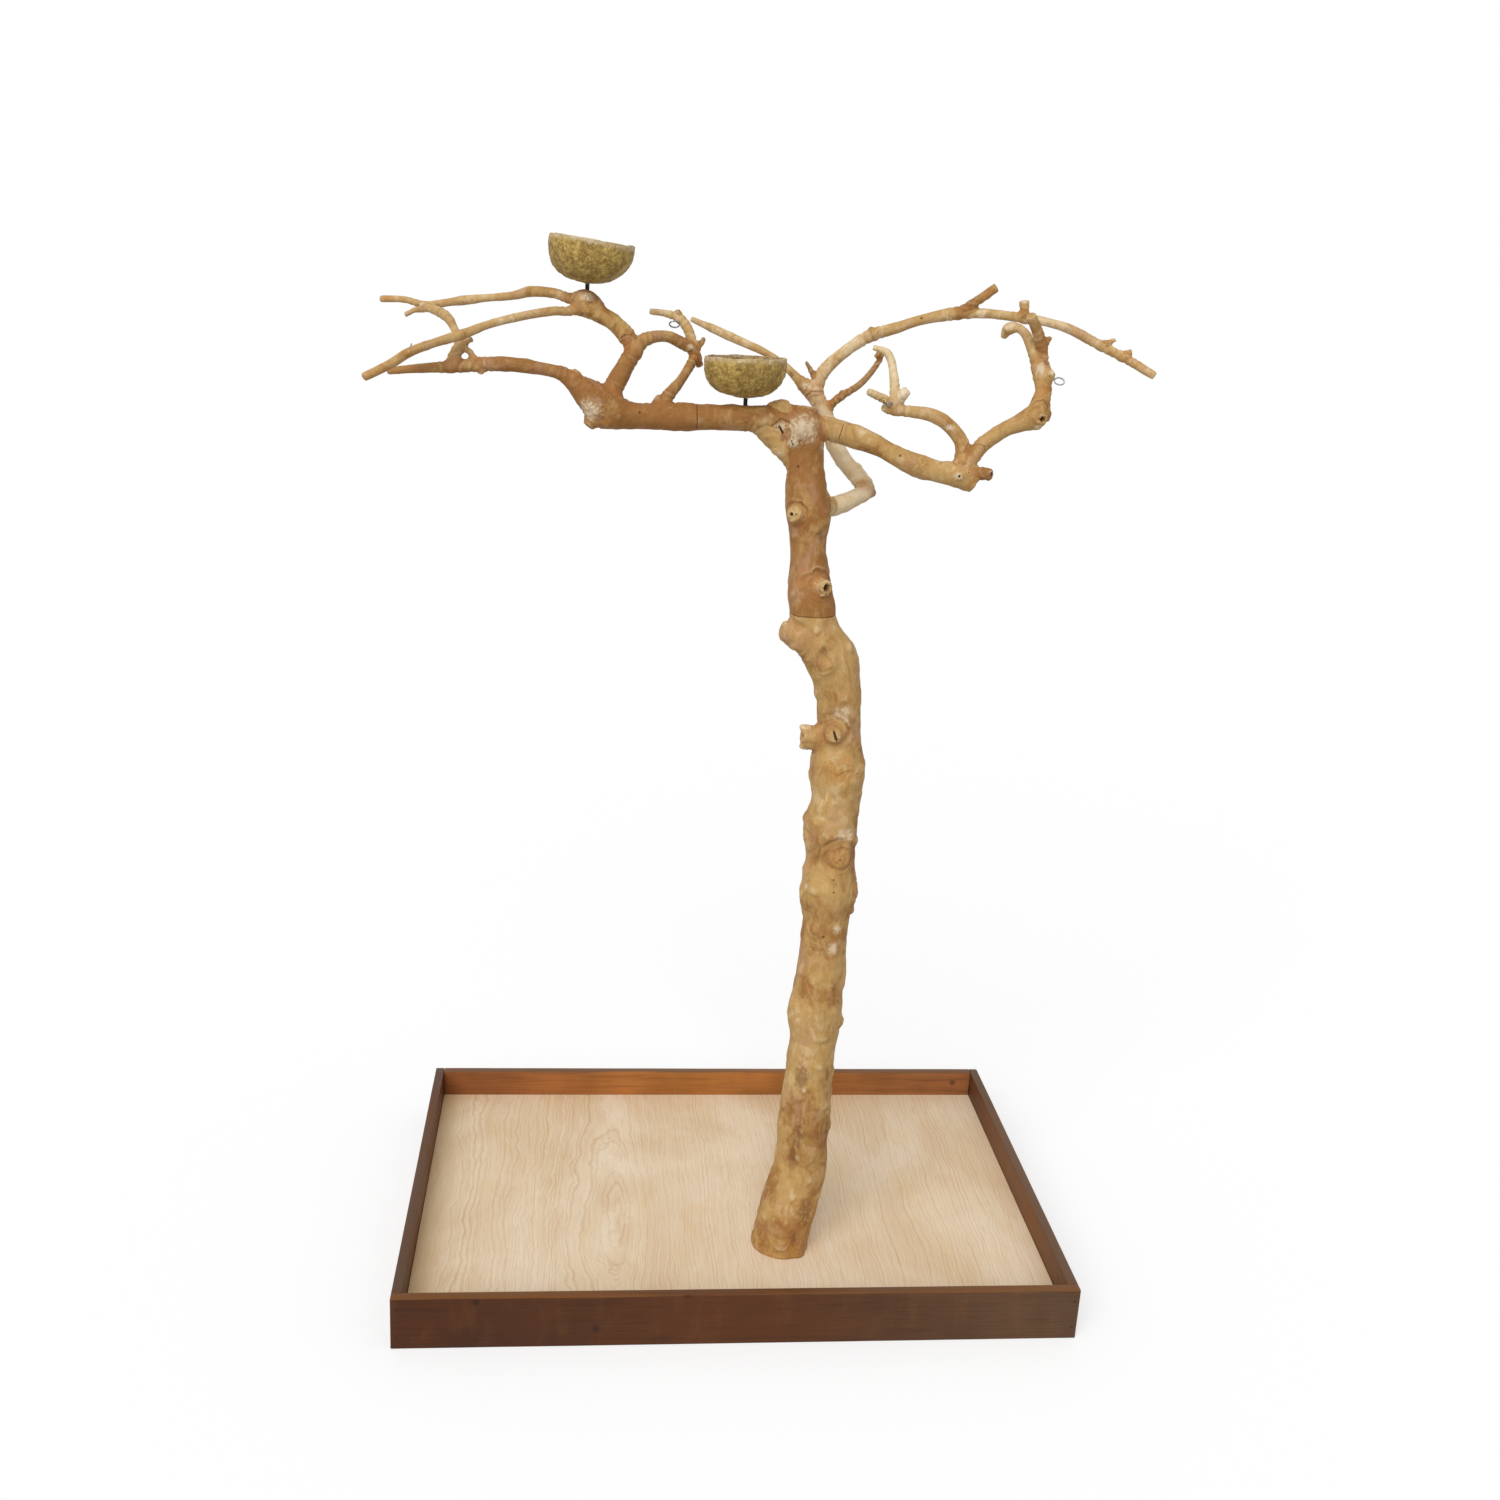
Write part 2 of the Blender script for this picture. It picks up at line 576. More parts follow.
def rub_down(points, edges, rounds, pulls=(0.5, -0.52)):
    """Rub a skin smooth.  The second pull swells it back, so that thin limbs stay as thick."""
    count = len(points)
    ends, others = edges[:, 0], edges[:, 1]
    known = np.bincount(edges.ravel(), minlength=count)[:, None]
    for _ in range(rounds):
        for pull in pulls:
            total = np.stack([np.bincount(ends, points[others, axis], count)
                              + np.bincount(others, points[ends, axis], count)
                              for axis in range(3)], axis=1)
            points = points + pull * (total / known - points)
    return points


LIMB_PACE = 0.004
LIMB_SHIFT = 3.7                        # between the grain of one limb and the next
NEAR_RADII, NEAR_MARGIN = 2.5, 0.02
FAR_OFF = 1.0
MOST_AT_ONCE = 4000000


def beside_limbs(points, limbs):
    """For every point and limb: how far off its surface, where along its grain, how thick.

    The grain place is an (x, y) across the limb and z along it, in metres.
    """
    distances = np.full((len(limbs), len(points)), FAR_OFF)
    grains = np.zeros((len(limbs), len(points), 3))
    girths = np.zeros((len(limbs), len(points)))
    for row, limb in enumerate(limbs):
        places, radii, ways, marks = walk_limb(limb, LIMB_PACE)
        sides, crosses = steady_sides(ways)
        reach = radii.max() * NEAR_RADII + NEAR_MARGIN
        near = np.flatnonzero(np.all((points > places.min(0) - reach)
                                     & (points < places.max(0) + reach), axis=1))
        for part in np.array_split(near, max(1, len(near) * len(places) // MOST_AT_ONCE)):
            apart = ((points[part, None, :] - places[None]) ** 2).sum(2)
            nearest = apart.argmin(1)
            away = points[part] - places[nearest]
            along = (away * ways[nearest]).sum(1)
            distances[row, part] = np.sqrt(apart[np.arange(len(part)), nearest]) - radii[nearest]
            grains[row, part, 0] = (away * sides[nearest]).sum(1)
            grains[row, part, 1] = (away * crosses[nearest]).sum(1)
            grains[row, part, 2] = marks[nearest] + along + LIMB_SHIFT * row
            girths[row, part] = radii[nearest]
    return distances, grains, girths


def carry(mesh, name, values):
    """Store a value or a vector at every point of a mesh, for its finish to read."""
    kind = "FLOAT" if values.ndim == 1 else "FLOAT_VECTOR"
    layer = mesh.attributes.new(name, kind, "POINT")
    word = "value" if values.ndim == 1 else "vector"
    layer.data.foreach_set(word, values.astype(np.float32).ravel())


def ease(value, low, high):
    """0 below low, 1 above high, and a smooth step between."""
    share = np.clip((value - low) / (high - low), 0, 1)
    return share * share * (3 - 2 * share)


def bell(value):
    """1 at 0, and dying away smoothly on both sides."""
    return np.exp(-value * value)


GRAIN_BLEND = 0.006
COLLAR_REACH = 0.007


def carry_grain(mesh, limbs):
    """Let the finish follow each limb's own grain, tone and girth, blended where limbs meet."""
    distances, grains, girths = beside_limbs(points_of(mesh), limbs)
    orders = np.array([limb.order for limb in limbs])
    tones = np.array([limb.tone for limb in limbs])
    index = np.arange(distances.shape[1])
    gaps, tone_of, girth_of = [], [], []
    for order, name in ((0, "grain_main"), (1, "grain_side")):
        rows = np.flatnonzero(orders == order)
        best = rows[distances[rows].argmin(0)]
        gaps.append(distances[best, index])
        tone_of.append(tones[best])
        girth_of.append(girths[best, index])
        carry(mesh, name, grains[best, index])
    share = ease((gaps[0] - gaps[1]) / GRAIN_BLEND, -1, 1)
    carry(mesh, "side_share", share)
    carry(mesh, "tone", tone_of[0] * (1 - share) + tone_of[1] * share)
    carry(mesh, "girth", girth_of[0] * (1 - share) + girth_of[1] * share)
    carry(mesh, "collar", bell((np.abs(gaps[0]) + np.abs(gaps[1])) / COLLAR_REACH))


def saw_off(mesh, station, way):
    """Saw a limb across at a joint, a hair short of it, and close the cut."""
    place = TRUNK_FOOT + Vector(station[:3]) * MILLIMETRE
    saw = bmesh.new()
    saw.from_mesh(mesh)
    near = [face for face in saw.faces if (face.calc_center_median() - place).length < SAW_REACH]
    around = {edge for face in near for edge in face.edges}
    corners = {corner for face in near for corner in face.verts}
    cut = bmesh.ops.bisect_plane(saw, geom=list(near) + list(around) + list(corners),
                                 plane_co=place - way * SAW_KERF, plane_no=way,
                                 clear_outer=True)
    edge = [item for item in cut["geom_cut"] if isinstance(item, bmesh.types.BMEdge)]
    bmesh.ops.contextual_create(saw, geom=edge)
    saw.to_mesh(mesh)
    saw.free()


LUMP_SIZE, LUMP_SHARE = 0.045, 0.065
BURR_SIZE, BURR_SHARE, BURR_FROM = 0.021, 0.17, 0.2
NODE_SPACING, NODE_SHARE, NODE_WIDTH = 0.034, 0.07, 0.13
NODE_GIRTH = 0.013
NODE_DRIFT, NODE_BREAKS = 0.11, 0.012
RIPPLE_SIZE, RIPPLE_SHARE = 0.010, 0.022
WRINKLE_LENGTH, WRINKLE_HEIGHT, WRINKLE_REACH = 0.0065, 0.0006, 0.012
SHRUNK_SHARE = 0.02


def weather(points, normals, limbs):
    """Swell and hollow a smooth skin the way that a grown limb is, and wrinkle its collars.

    Broad lumps and burrs are everywhere, bud rings only on the thin limbs, and wrinkles
    where two limbs meet.  Shares are of the limb's radius.
    """
    distances, grains, girths = beside_limbs(points, limbs)
    each = np.arange(len(points))
    nearest = distances.argmin(0)
    girth = girths[nearest, each]
    first, second = np.sort(distances, axis=0)[:2]
    fork = bell((np.abs(first) + np.abs(second)) / WRINKLE_REACH)
    wrinkle = np.sin(second * (2 * math.pi / WRINKLE_LENGTH)) * fork * WRINKLE_HEIGHT
    walked = grains[nearest, each, 2] / NODE_SPACING
    lumps = np.empty(len(points))
    for index, point in enumerate(points):
        spot = Vector(point)
        lump = noise.noise(spot / LUMP_SIZE) + 0.5 * noise.noise(spot / (LUMP_SIZE * 0.45))
        burr = max(0.0, noise.noise(spot / BURR_SIZE) - BURR_FROM)
        joint = (walked[index] + 2 * noise.noise(spot / NODE_DRIFT)) % 1 - 0.5
        node = NODE_SHARE * math.exp(-(joint / NODE_WIDTH) ** 2)
        node *= 0.6 + noise.noise(spot / NODE_BREAKS)
        node *= max(0.0, min(1.0, 2 - girth[index] / NODE_GIRTH * 1.2))
        lumps[index] = girth[index] * (LUMP_SHARE * lump + BURR_SHARE * burr + node)
        lumps[index] += RIPPLE_SHARE * girth[index] * noise.noise(spot / RIPPLE_SIZE)
    return points + normals * (lumps - SHRUNK_SHARE * girth + wrinkle)[:, None]


def knot_place(knot):
    return np.array(TRUNK_FOOT) + np.array(knot.place) * MILLIMETRE


def nearest_point(points, knot):
    return points[((points - knot_place(knot)) ** 2).sum(1).argmin()].copy()


COLOUR_KINDS = ("stain", "bleach", "rust")
SMALL_KNOT = 16
REFINED_REACH = 1.35


def refine(mesh, knots):
    """Split the skin finer round each carved knot, twice round the small ones."""
    for widest in (math.inf, SMALL_KNOT):
        points, edges = points_of(mesh), edges_of(mesh)
        chosen = np.zeros(len(edges), bool)
        for knot in knots:
            if knot.kind not in COLOUR_KINDS and knot.reach < widest:
                reach = REFINED_REACH * knot.reach * MILLIMETRE
                close = ((points - nearest_point(points, knot)) ** 2).sum(1) < reach ** 2
                chosen |= close[edges].all(1)
        fine = bmesh.new()
        fine.from_mesh(mesh)
        fine.edges.ensure_lookup_table()
        split = [fine.edges[index] for index in np.flatnonzero(chosen)]
        bmesh.ops.subdivide_edges(fine, edges=split, cuts=1, use_grid_fill=True)
        fine.to_mesh(mesh)
        fine.free()


# A knot's form is how high it stands, how dark it is and how pale, at a radius that is 1 at
# its reach and a turn about its middle.  Ragged is uneven round the knot, and grit is uneven
# all over the wood.

def domed(radius, ragged):
    return np.clip(1 - (radius * (1 + 0.3 * ragged)) ** 2, 0, 1) ** 1.3


def ringed(radius, ragged):
    return np.cos(radius * 12 + 4 * ragged) * ease(1.25 - radius, 0, 0.4)


def hollow_knot(height, radius, turn, ragged, grit):
    """A rotted stub: a torn pale rim round a dark hole."""
    sunk = 1 - ease(radius * (1 + 0.5 * ragged), 0.22, 0.5)
    rim = bell((radius - 0.72 - 0.2 * ragged) / 0.26) * (1 + 0.9 * ragged + 0.4 * grit)
    return height * (rim - 2.6 * sunk), sunk, 0.45 * np.clip(rim, 0, 1) * (1 - sunk)


def pit_knot(height, radius, turn, ragged, grit):
    """A small dark pin hole."""
    sunk = 1 - ease(radius * (1 + 0.5 * ragged), 0.2, 0.8)
    return -height * sunk, 0.8 * sunk, np.zeros_like(radius)


def bump_knot(height, radius, turn, ragged, grit):
    """A bud that the wood has grown over: a plain swelling, pale on top."""
    dome = domed(radius, ragged)
    return height * dome * (1 + 0.4 * grit), np.zeros_like(radius), 0.3 * dome ** 2


def rough_knot(height, radius, turn, ragged, grit):
    """A patch of torn grain, dark in its creases."""
    dome = domed(radius, ragged)
    torn = np.abs(grit) ** 0.8
    creases = 0.45 * dome * ease(0.16 - torn, 0, 0.14)
    return height * dome * (1 - 2.4 * torn), creases, np.zeros_like(radius)


def arch_knot(height, radius, turn, ragged, grit):
    """The fold over an old branch collar: a crease between two pale ridges."""
    over = ease(np.sin(turn), 0.1, 0.7)
    line = radius * (1 + 0.16 * ragged) - 1
    crease = bell(line / 0.1) * over
    fold = (bell((line + 0.2) / 0.16) + bell((line - 0.2) / 0.16)) * over
    return height * (0.8 * fold - crease), 0.2 * crease, 0.25 * fold * (1 - crease)


def healed_knot(height, radius, turn, ragged, grit):
    """A closed knot: a low ringed boss with a dark eye."""
    dome = domed(radius, ragged)
    eye = 1 - ease(radius * (1 + 0.6 * ragged), 0.05, 0.2)
    lift = dome + 0.1 * ringed(radius, ragged) + 0.5 * grit * dome - 0.5 * eye
    return height * lift, 0.6 * eye, 0.15 * dome * (1 - eye)


def slit_knot(height, radius, turn, ragged, grit):
    """A knot that has nearly closed: a ringed boss split by a dark leaning slit."""
    dome = domed(radius, ragged)
    gape = np.abs(radius * np.cos(turn - 0.5 + 0.5 * ragged)) + 0.3 * radius ** 2
    slit = 1 - ease(gape, 0.05, 0.18)
    lift = dome + 0.16 * ringed(radius, ragged) - 1.1 * slit
    return height * lift, slit, 0.4 * dome * (1 - slit)


KNOT_FORMS = {"hollow": hollow_knot, "pit": pit_knot, "bump": bump_knot, "rough": rough_knot,
              "arch": arch_knot, "healed": healed_knot, "slit": slit_knot}
KNOT_NEAR, KNOT_CORE = 1.7, 0.7         # in reaches
NEARLY_UP = (0.13, 0.2, 1.0)
RAGGED_WAVES = 2.2
GRIT_SIZE = 0.0055


def carve_knot(knot, number, points, normals, layers):
    """Raise and sink one knot in a skin, square to the wood round it."""
    reach = knot.reach * MILLIMETRE
    away = points - nearest_point(points, knot)
    near = np.flatnonzero((away ** 2).sum(1) < (KNOT_NEAR * reach) ** 2)
    core = near[(away[near] ** 2).sum(1) < (KNOT_CORE * reach) ** 2]
    way = normals[core].mean(0)
    way /= np.linalg.norm(way)
    side = np.cross(NEARLY_UP, way)
    side /= np.linalg.norm(side)
    across, up = away[near] @ side, away[near] @ np.cross(way, side)
    turn = np.arctan2(up, across)
    ragged = np.array([noise.noise((RAGGED_WAVES * math.cos(angle),
                                    RAGGED_WAVES * math.sin(angle), number))
                       for angle in turn])
    grit = np.array([noise.noise(Vector(point) / GRIT_SIZE) for point in points[near]])
    radius = np.hypot(across, up) / reach
    facing = ease(normals[near] @ way, 0.0, 0.35)
    form = KNOT_FORMS[knot.kind]
    lift, dark, pale = form(knot.height * MILLIMETRE, radius, turn, ragged, grit)
    points[near] += way * (lift * facing)[:, None]
    for name, value in (("dark", dark), ("pale", pale),
                        ("rust", 0.3 * bell((radius - 0.9) / 0.4))):
        layers[name][near] = np.maximum(layers[name][near], value * facing)


def carve_knots(mesh, knots):
    """Carve the knots in a skin, and carry where it is dark, stained, pale or rusty."""
    points, normals = points_of(mesh), normals_of(mesh)
    layers = {name: np.zeros(len(points)) for name in ("dark", "pale", "rust", "stain")}
    for number, knot in enumerate(knots):
        if knot.kind not in COLOUR_KINDS:
            carve_knot(knot, number, points, normals, layers)
            continue
        away = (points - nearest_point(points, knot)) / MILLIMETRE
        spread = bell(np.hypot(away[:, 0], away[:, 1]) / knot.reach)
        spread *= bell(away[:, 2] / knot.height)
        layer = layers["pale" if knot.kind == "bleach" else knot.kind]
        np.maximum(layer, spread, out=layer)
    set_points(mesh, points)
    for name, values in layers.items():
        carry(mesh, "knot_" + name, values)


CREST_HEIGHT = 0.0013
CREST_ROUNDS = 14
SKIN_ROUNDS = 10


def carry_crests(mesh):
    """Carry how far each point stands out from the wood round it: crests 1, hollows -1."""
    points, normals = points_of(mesh), normals_of(mesh)
    smoothed = rub_down(points, edges_of(mesh), CREST_ROUNDS, (0.5,))
    carry(mesh, "crest", np.clip(((points - smoothed) * normals).sum(1) / CREST_HEIGHT, -1, 1))


def cleaned_wood(limbs, knots, skin):
    """The skin of a branching piece, grown together, rubbed smooth and a little uneven."""
    mesh = grown_together(limbs, skin)
    points = rub_down(points_of(mesh), edges_of(mesh), SKIN_ROUNDS)
    set_points(mesh, points)
    set_points(mesh, weather(points, normals_of(mesh), limbs))
    refine(mesh, knots)
    carve_knots(mesh, knots)
    set_points(mesh, np.clip(points_of(mesh), cad_low, cad_high))
    carry_crests(mesh)
    for limb in limbs:
        if sawn(limb.start):
            saw_off(mesh, limb.stations[0], -Vector(limb.start))
        if sawn(limb.end):
            saw_off(mesh, limb.stations[-1], Vector(limb.end))
    carry_grain(mesh, limbs)
    mesh.shade_smooth()
    return mesh


def blasted_hardwood():
    """Clean, dry hardwood, mottled from bleached through golden tan to brown by its tone."""
    wood = Finish("blasted_hardwood", Roughness=0.6, Specular_IOR_Level=0.22)

    def grain(name, shift):
        lie = wood.carried(name)
        streaks = wood.cloud(wood.stretch(lie, (200, 200, 9), shift), 4, 0.62, 0.8)
        fibres = wood.cloud(wood.stretch(lie, (1200, 1200, 60), shift), 3, 0.6)
        return streaks, fibres

    main, side = grain("grain_main", (0, 0, 0)), grain("grain_side", (4, 9, 2))
    share = wood.carried("side_share", "Fac")

    def joined(index):
        step = wood.tree.nodes.new("ShaderNodeMix")
        wood.feed(step.inputs["Factor"], share)
        wood.feed(step.inputs["A"], main[index])
        wood.feed(step.inputs["B"], side[index])
        return step.outputs["Result"]

    streaks, fibres = joined(0), joined(1)
    drift = wood.cloud(wood.place((14, 14, 10)), 3, 0.6, 0.6)
    mottle = wood.cloud(wood.place((62, 62, 40), (1.7, 0, 4)), 5, 0.66, 1.2)
    grit = wood.cloud(wood.place((230, 230, 160)), 4, 0.65, 0.6)
    blush = wood.cloud(wood.place((24, 24, 17), (5.2, 1.1, 3.0)), 3, 0.55, 0.8)
    thin = wood.span(wood.carried("girth", "Fac"), 0.007, 0.03, 0.15, 0)
    crest = wood.carried("crest", "Fac")
    warmth = wood.sum("ADD", wood.carried("tone", "Fac"), thin)
    warmth = wood.sum("ADD", warmth, wood.span(drift, 0.3, 0.7, -0.55, 0.55))
    warmth = wood.sum("ADD", warmth, wood.span(mottle, 0.32, 0.68, -0.35, 0.35))
    body = wood.tint(wood.span(warmth, -1.1, 0.0), dye(232, 208, 168), dye(192, 153, 94))
    body = wood.tint(wood.span(warmth, 0.0, 1.1), body, dye(154, 104, 52))
    body = wood.tint(wood.span(blush, 0.52, 0.7, 0, 0.35), body, dye(198, 156, 130))
    body = wood.tint(wood.span(blush, 0.3, 0.44, 0.35, 0), body, dye(190, 160, 88))
    body = wood.tint(wood.span(streaks, 0.54, 0.72, 0, 0.35), body, dye(146, 104, 58))
    body = wood.tint(wood.span(fibres, 0.5, 0.8, 0, 0.12), body, dye(226, 200, 150))
    body = wood.tint(wood.span(grit, 0.58, 0.72, 0, 0.2), body, dye(138, 94, 52))
    body = wood.tint(wood.span(grit, 0.3, 0.42, 0.12, 0), body, dye(236, 214, 168))
    body = wood.tint(wood.span(crest, 0.15, 1, 0, 0.34), body, dye(238, 216, 172))
    body = wood.tint(wood.span(crest, -1, -0.15, 0.5, 0), body, dye(138, 88, 42))
    body = wood.tint(wood.span(wood.carried("collar", "Fac"), 0.3, 0.95, 0, 0.3), body,
                     dye(168, 108, 64))

    def marked(name, low, high, most):
        """A carried mark, broken up by the mottling, as a share."""
        ragged = wood.sum("MULTIPLY", wood.carried("knot_" + name, "Fac"),
                          wood.span(mottle, 0.25, 0.7, 0.5, 1.5))
        ragged = wood.sum("MULTIPLY", ragged, wood.span(grit, 0.34, 0.62, 0.5, 1.2))
        return wood.span(ragged, low, high, 0, most)

    body = wood.tint(marked("rust", 0.15, 0.9, 0.5), body, dye(184, 126, 62))
    body = wood.tint(marked("pale", 0.15, 1, 0.6), body, dye(240, 224, 192))
    body = wood.tint(marked("stain", 0.2, 0.9, 0.6), body, dye(118, 82, 54))
    flecks = wood.cells(wood.place((170, 170, 110)))
    body = wood.tint(wood.span(flecks, 0.05, 0.12, 0.5, 0), body, dye(112, 76, 44))
    body = wood.tint(wood.carried("knot_dark", "Fac"), body, dye(58, 36, 20))
    height = wood.sum("ADD", wood.sum("MULTIPLY", streaks, 0.6), wood.sum("MULTIPLY", fibres, 0.5))
    height = wood.sum("ADD", height, grit)
    return wood.finish(body, wood.span(mottle, 0.3, 0.7, 0.52, 0.7),
                       wood.relief(height, 0.0008))


hardwood = blasted_hardwood()
lower = cleaned_wood((LOWER_TRUNK,) + LOWER_SNAGS, LOWER_KNOTS, 0.0022)
put_up("trunk_stem", lower, hardwood, "stand", "lower_trunk")


# ------------------------------------------------------------------ upper trunk and crown
# The same stem above the seam, with the roots of three boughs.  It is turned a little at
# the seam, where a thick dowel holds it.

UPPER_TRUNK = Limb(0, 1.15, UPRIGHT, "tip", (
    (-3, 70, 905, 30.5), (-7, 74, 932, 30), (-11, 79, 971, 24.5), (-13, 83, 1001, 24.5),
    (-14, 87, 1031, 29.5), (-18, 91, 1057, 28), (-20, 96, 1086, 24.5), (-23, 100, 1109, 26.5),
    (-27, 104, 1137, 29), (-25, 106, 1167, 16.5)))


def root(tone, *stations):
    """A short root that a bough is dowelled to, sawn square to its last run."""
    before, after = Vector(stations[-2][:3]), Vector(stations[-1][:3])
    return Limb(1, tone, "grown", tuple((after - before).normalized()), stations)


LEFT_ROOT = root(0.7, (-34, 104, 1139, 20), (-63, 103, 1147, 17.5), (-96, 101, 1148, 16.5),
                 (-134, 99, 1148, 16.5), (-164, 98, 1147, 17))
RIGHT_ROOT = root(0.1, (-26, 104, 1139, 17), (2, 100, 1141, 15), (22, 97, 1136, 15.5))
BACK_ROOT = root(-0.3, (-10, 93, 1046, 16), (4, 107, 1042, 14), (18, 120, 1038, 13))
UPPER_SNAGS = (
    Limb(1, 0.0, "grown", "grown",
         ((-79, 103, 1142, 16), (-59, 102, 1126, 17.5), (-34, 101, 1104, 18.5))),
    snag((-7, 74, 940, 16), (8, 42, 946, 9)),
    Limb(1, 0.0, "grown", "tip", ((-19, 88, 1033, 15), (-31, 71, 1033, 13), (-37, 59, 1035, 10))),
    Limb(1, -0.4, "grown", "tip",
         ((-46, 104, 1147, 14.5), (-56, 104, 1160, 13.5), (-62, 103, 1171, 9.5))))

UPPER_KNOTS = (
    Knot("hollow", (8, 46, 943), 12, 2.8), Knot("arch", (1, 48, 938), 23, 1.5),
    Knot("healed", (-34, 57, 1035), 12, 2.0), Knot("hollow", (-41, 57, 1035), 5, 1.6),
    Knot("arch", (-32, 58, 1033), 15, 1.0), Knot("pit", (-33, 76, 1093), 3, 0.8),
    Knot("slit", (-56, 87, 1137), 10, 2.6), Knot("arch", (-54, 87, 1134), 15, 1.4),
    Knot("bump", (-33, 78, 1143), 19, 4.5), Knot("bump", (-68, 105, 1166), 10, 3.0),
    Knot("bump", (-47, 100, 1169), 9, 2.6), Knot("slit", (-41, 78, 1122), 7, 1.8),
    Knot("slit", (-1, 86, 1120), 8, 2.0), Knot("bump", (-62, 92, 1108), 8, 2.8),
    Knot("bump", (-12, 84, 1150), 10, 2.6),
    Knot("rough", (-30, 80, 1130), 22, 0.9), Knot("rough", (-100, 84, 1150), 14, 0.6),
    Knot("bump", (12, 84, 1052), 10, 2.0), Knot("arch", (14, 90, 1040), 16, 1.2),
    Knot("bleach", (-30, 78, 1140), 26, 20), Knot("bleach", (-41, 78, 1122), 9, 7),
    Knot("bleach", (-56, 87, 1142), 8, 7), Knot("bleach", (0, 84, 1118), 7, 6),
    Knot("stain", (1, 63, 1007), 7, 8), Knot("stain", (-52, 84, 1126), 6, 5),
    Knot("rust", (-12, 60, 950), 16, 14), Knot("rust", (-16, 110, 1060), 22, 26),
    Knot("healed", (-44, 122, 1030), 12, 2.6))

upper = cleaned_wood((UPPER_TRUNK, LEFT_ROOT, RIGHT_ROOT, BACK_ROOT) + UPPER_SNAGS,
                     UPPER_KNOTS, 0.002)
put_up("trunk_crown", upper, hardwood, "stand", "upper_trunk")


# ------------------------------------------------------------------ left bough
# The longest bough.  It is dowelled to the crown's left root, swells to a knuckle, and
# branches into an arch that carries the left cup and two long perches.

LEFT_BOUGH = (
    Limb(0, 1.0, LEFT_ROOT.end, "tip", (
        (-164, 98, 1147, 17), (-210, 96, 1146, 17), (-248, 95, 1146, 18), (-278, 93, 1154, 25),
        (-298, 91, 1168, 21), (-315, 89, 1181, 14), (-330, 88, 1192, 9.5), (-355, 86, 1198, 8),
        (-400, 81, 1202, 9), (-439, 77, 1200, 8.5), (-472, 73, 1196, 7), (-505, 69, 1193, 5.5),
        (-544, 65, 1188, 4.5))),
    Limb(1, 0.75, "grown", "grown", (
        (-278, 95, 1160, 15), (-269, 99, 1179, 13), (-254, 105, 1208, 11), (-245, 110, 1225, 11.5),
        (-242, 115, 1237, 11.5))),
    Limb(0, 0.5, "grown", "tip", (
        (-244, 111, 1225, 9.5), (-256, 119, 1243, 11), (-273, 123, 1258, 10.5),
        (-288, 127, 1266, 11.5), (-302, 131, 1276, 17), (-314, 132, 1279, 16.5),
        (-324, 133, 1280, 11))),
    Limb(1, -0.15, "grown", "tip", (
        (-310, 133, 1281, 8.5), (-328, 143, 1283, 7), (-348, 155, 1288, 6.5),
        (-377, 169, 1288, 7), (-398, 179, 1282, 5.5), (-432, 197, 1277, 5), (-464, 213, 1272, 6.5),
        (-485, 225, 1268, 5), (-515, 239, 1263, 5), (-545, 257, 1268, 4.5),
        (-577, 271, 1267, 4.5))),
    Limb(1, -0.15, "grown", "tip", (
        (-310, 130, 1275, 8.5), (-326, 123, 1268, 6), (-347, 114, 1267, 5.5),
        (-382, 99, 1260, 5.5), (-424, 79, 1248, 5), (-455, 63, 1235, 6), (-485, 47, 1225, 5.5),
        (-514, 30, 1213, 6), (-533, 17, 1200, 5.5), (-563, -1, 1184, 5))),
    Limb(1, 0.0, "grown", "tip", (
        (-469, 74, 1197, 6), (-465, 77, 1208, 7.5), (-459, 87, 1221, 7.5), (-464, 105, 1233, 5.5),
        (-469, 121, 1241, 5), (-478, 145, 1251, 6), (-492, 177, 1257, 6.5),
        (-506, 203, 1260, 5.5), (-520, 231, 1258, 4.5), (-531, 235, 1255, 3.5),
        (-542, 237, 1249, 3.5))),
    Limb(1, 0.1, "grown", "grown", ((-437, 77, 1202, 4), (-446, 81, 1214, 4),
                                    (-457, 88, 1222, 4))),
    Limb(0, 0.7, "grown", "tip", (
        (-244, 114, 1229, 10.5), (-227, 122, 1240, 8.5), (-203, 135, 1243, 7.5),
        (-185, 143, 1236, 8), (-170, 148, 1228, 7.5), (-163, 151, 1216, 7), (-158, 154, 1207, 5))),
    Limb(1, 0.6, "grown", "grown", (
        (-211, 98, 1153, 10.5), (-202, 104, 1169, 8.5), (-184, 123, 1190, 6),
        (-171, 141, 1210, 6.5), (-166, 149, 1220, 6.5))),
    Limb(1, -0.8, "grown", "tip", (
        (-165, 150, 1218, 6), (-170, 157, 1239, 6.5), (-177, 163, 1255, 6.5),
        (-187, 169, 1265, 6), (-205, 177, 1270, 4.5), (-224, 185, 1271, 4))),
    Limb(1, 0.7, "grown", "tip",
         ((-283, 93, 1153, 16.5), (-292, 90, 1142, 14), (-300, 87, 1131, 8))),
    snag((-319, 88, 1190, 7), (-314, 88, 1198, 4.5)),
    snag((-457, 88, 1223, 5), (-443, 88, 1230, 3)),
    snag((-436, 77, 1197, 5), (-430, 76, 1190, 3)),
    snag((-205, 100, 1160, 8), (-217, 99, 1169, 5), 0.3),
    snag((-186, 169, 1265, 5), (-189, 169, 1276, 3), -0.3),
    Limb(1, 0.3, "grown", "tip",
         ((-168, 153, 1223, 6), (-160, 152, 1234, 4.5), (-154, 151, 1243, 2.5))))

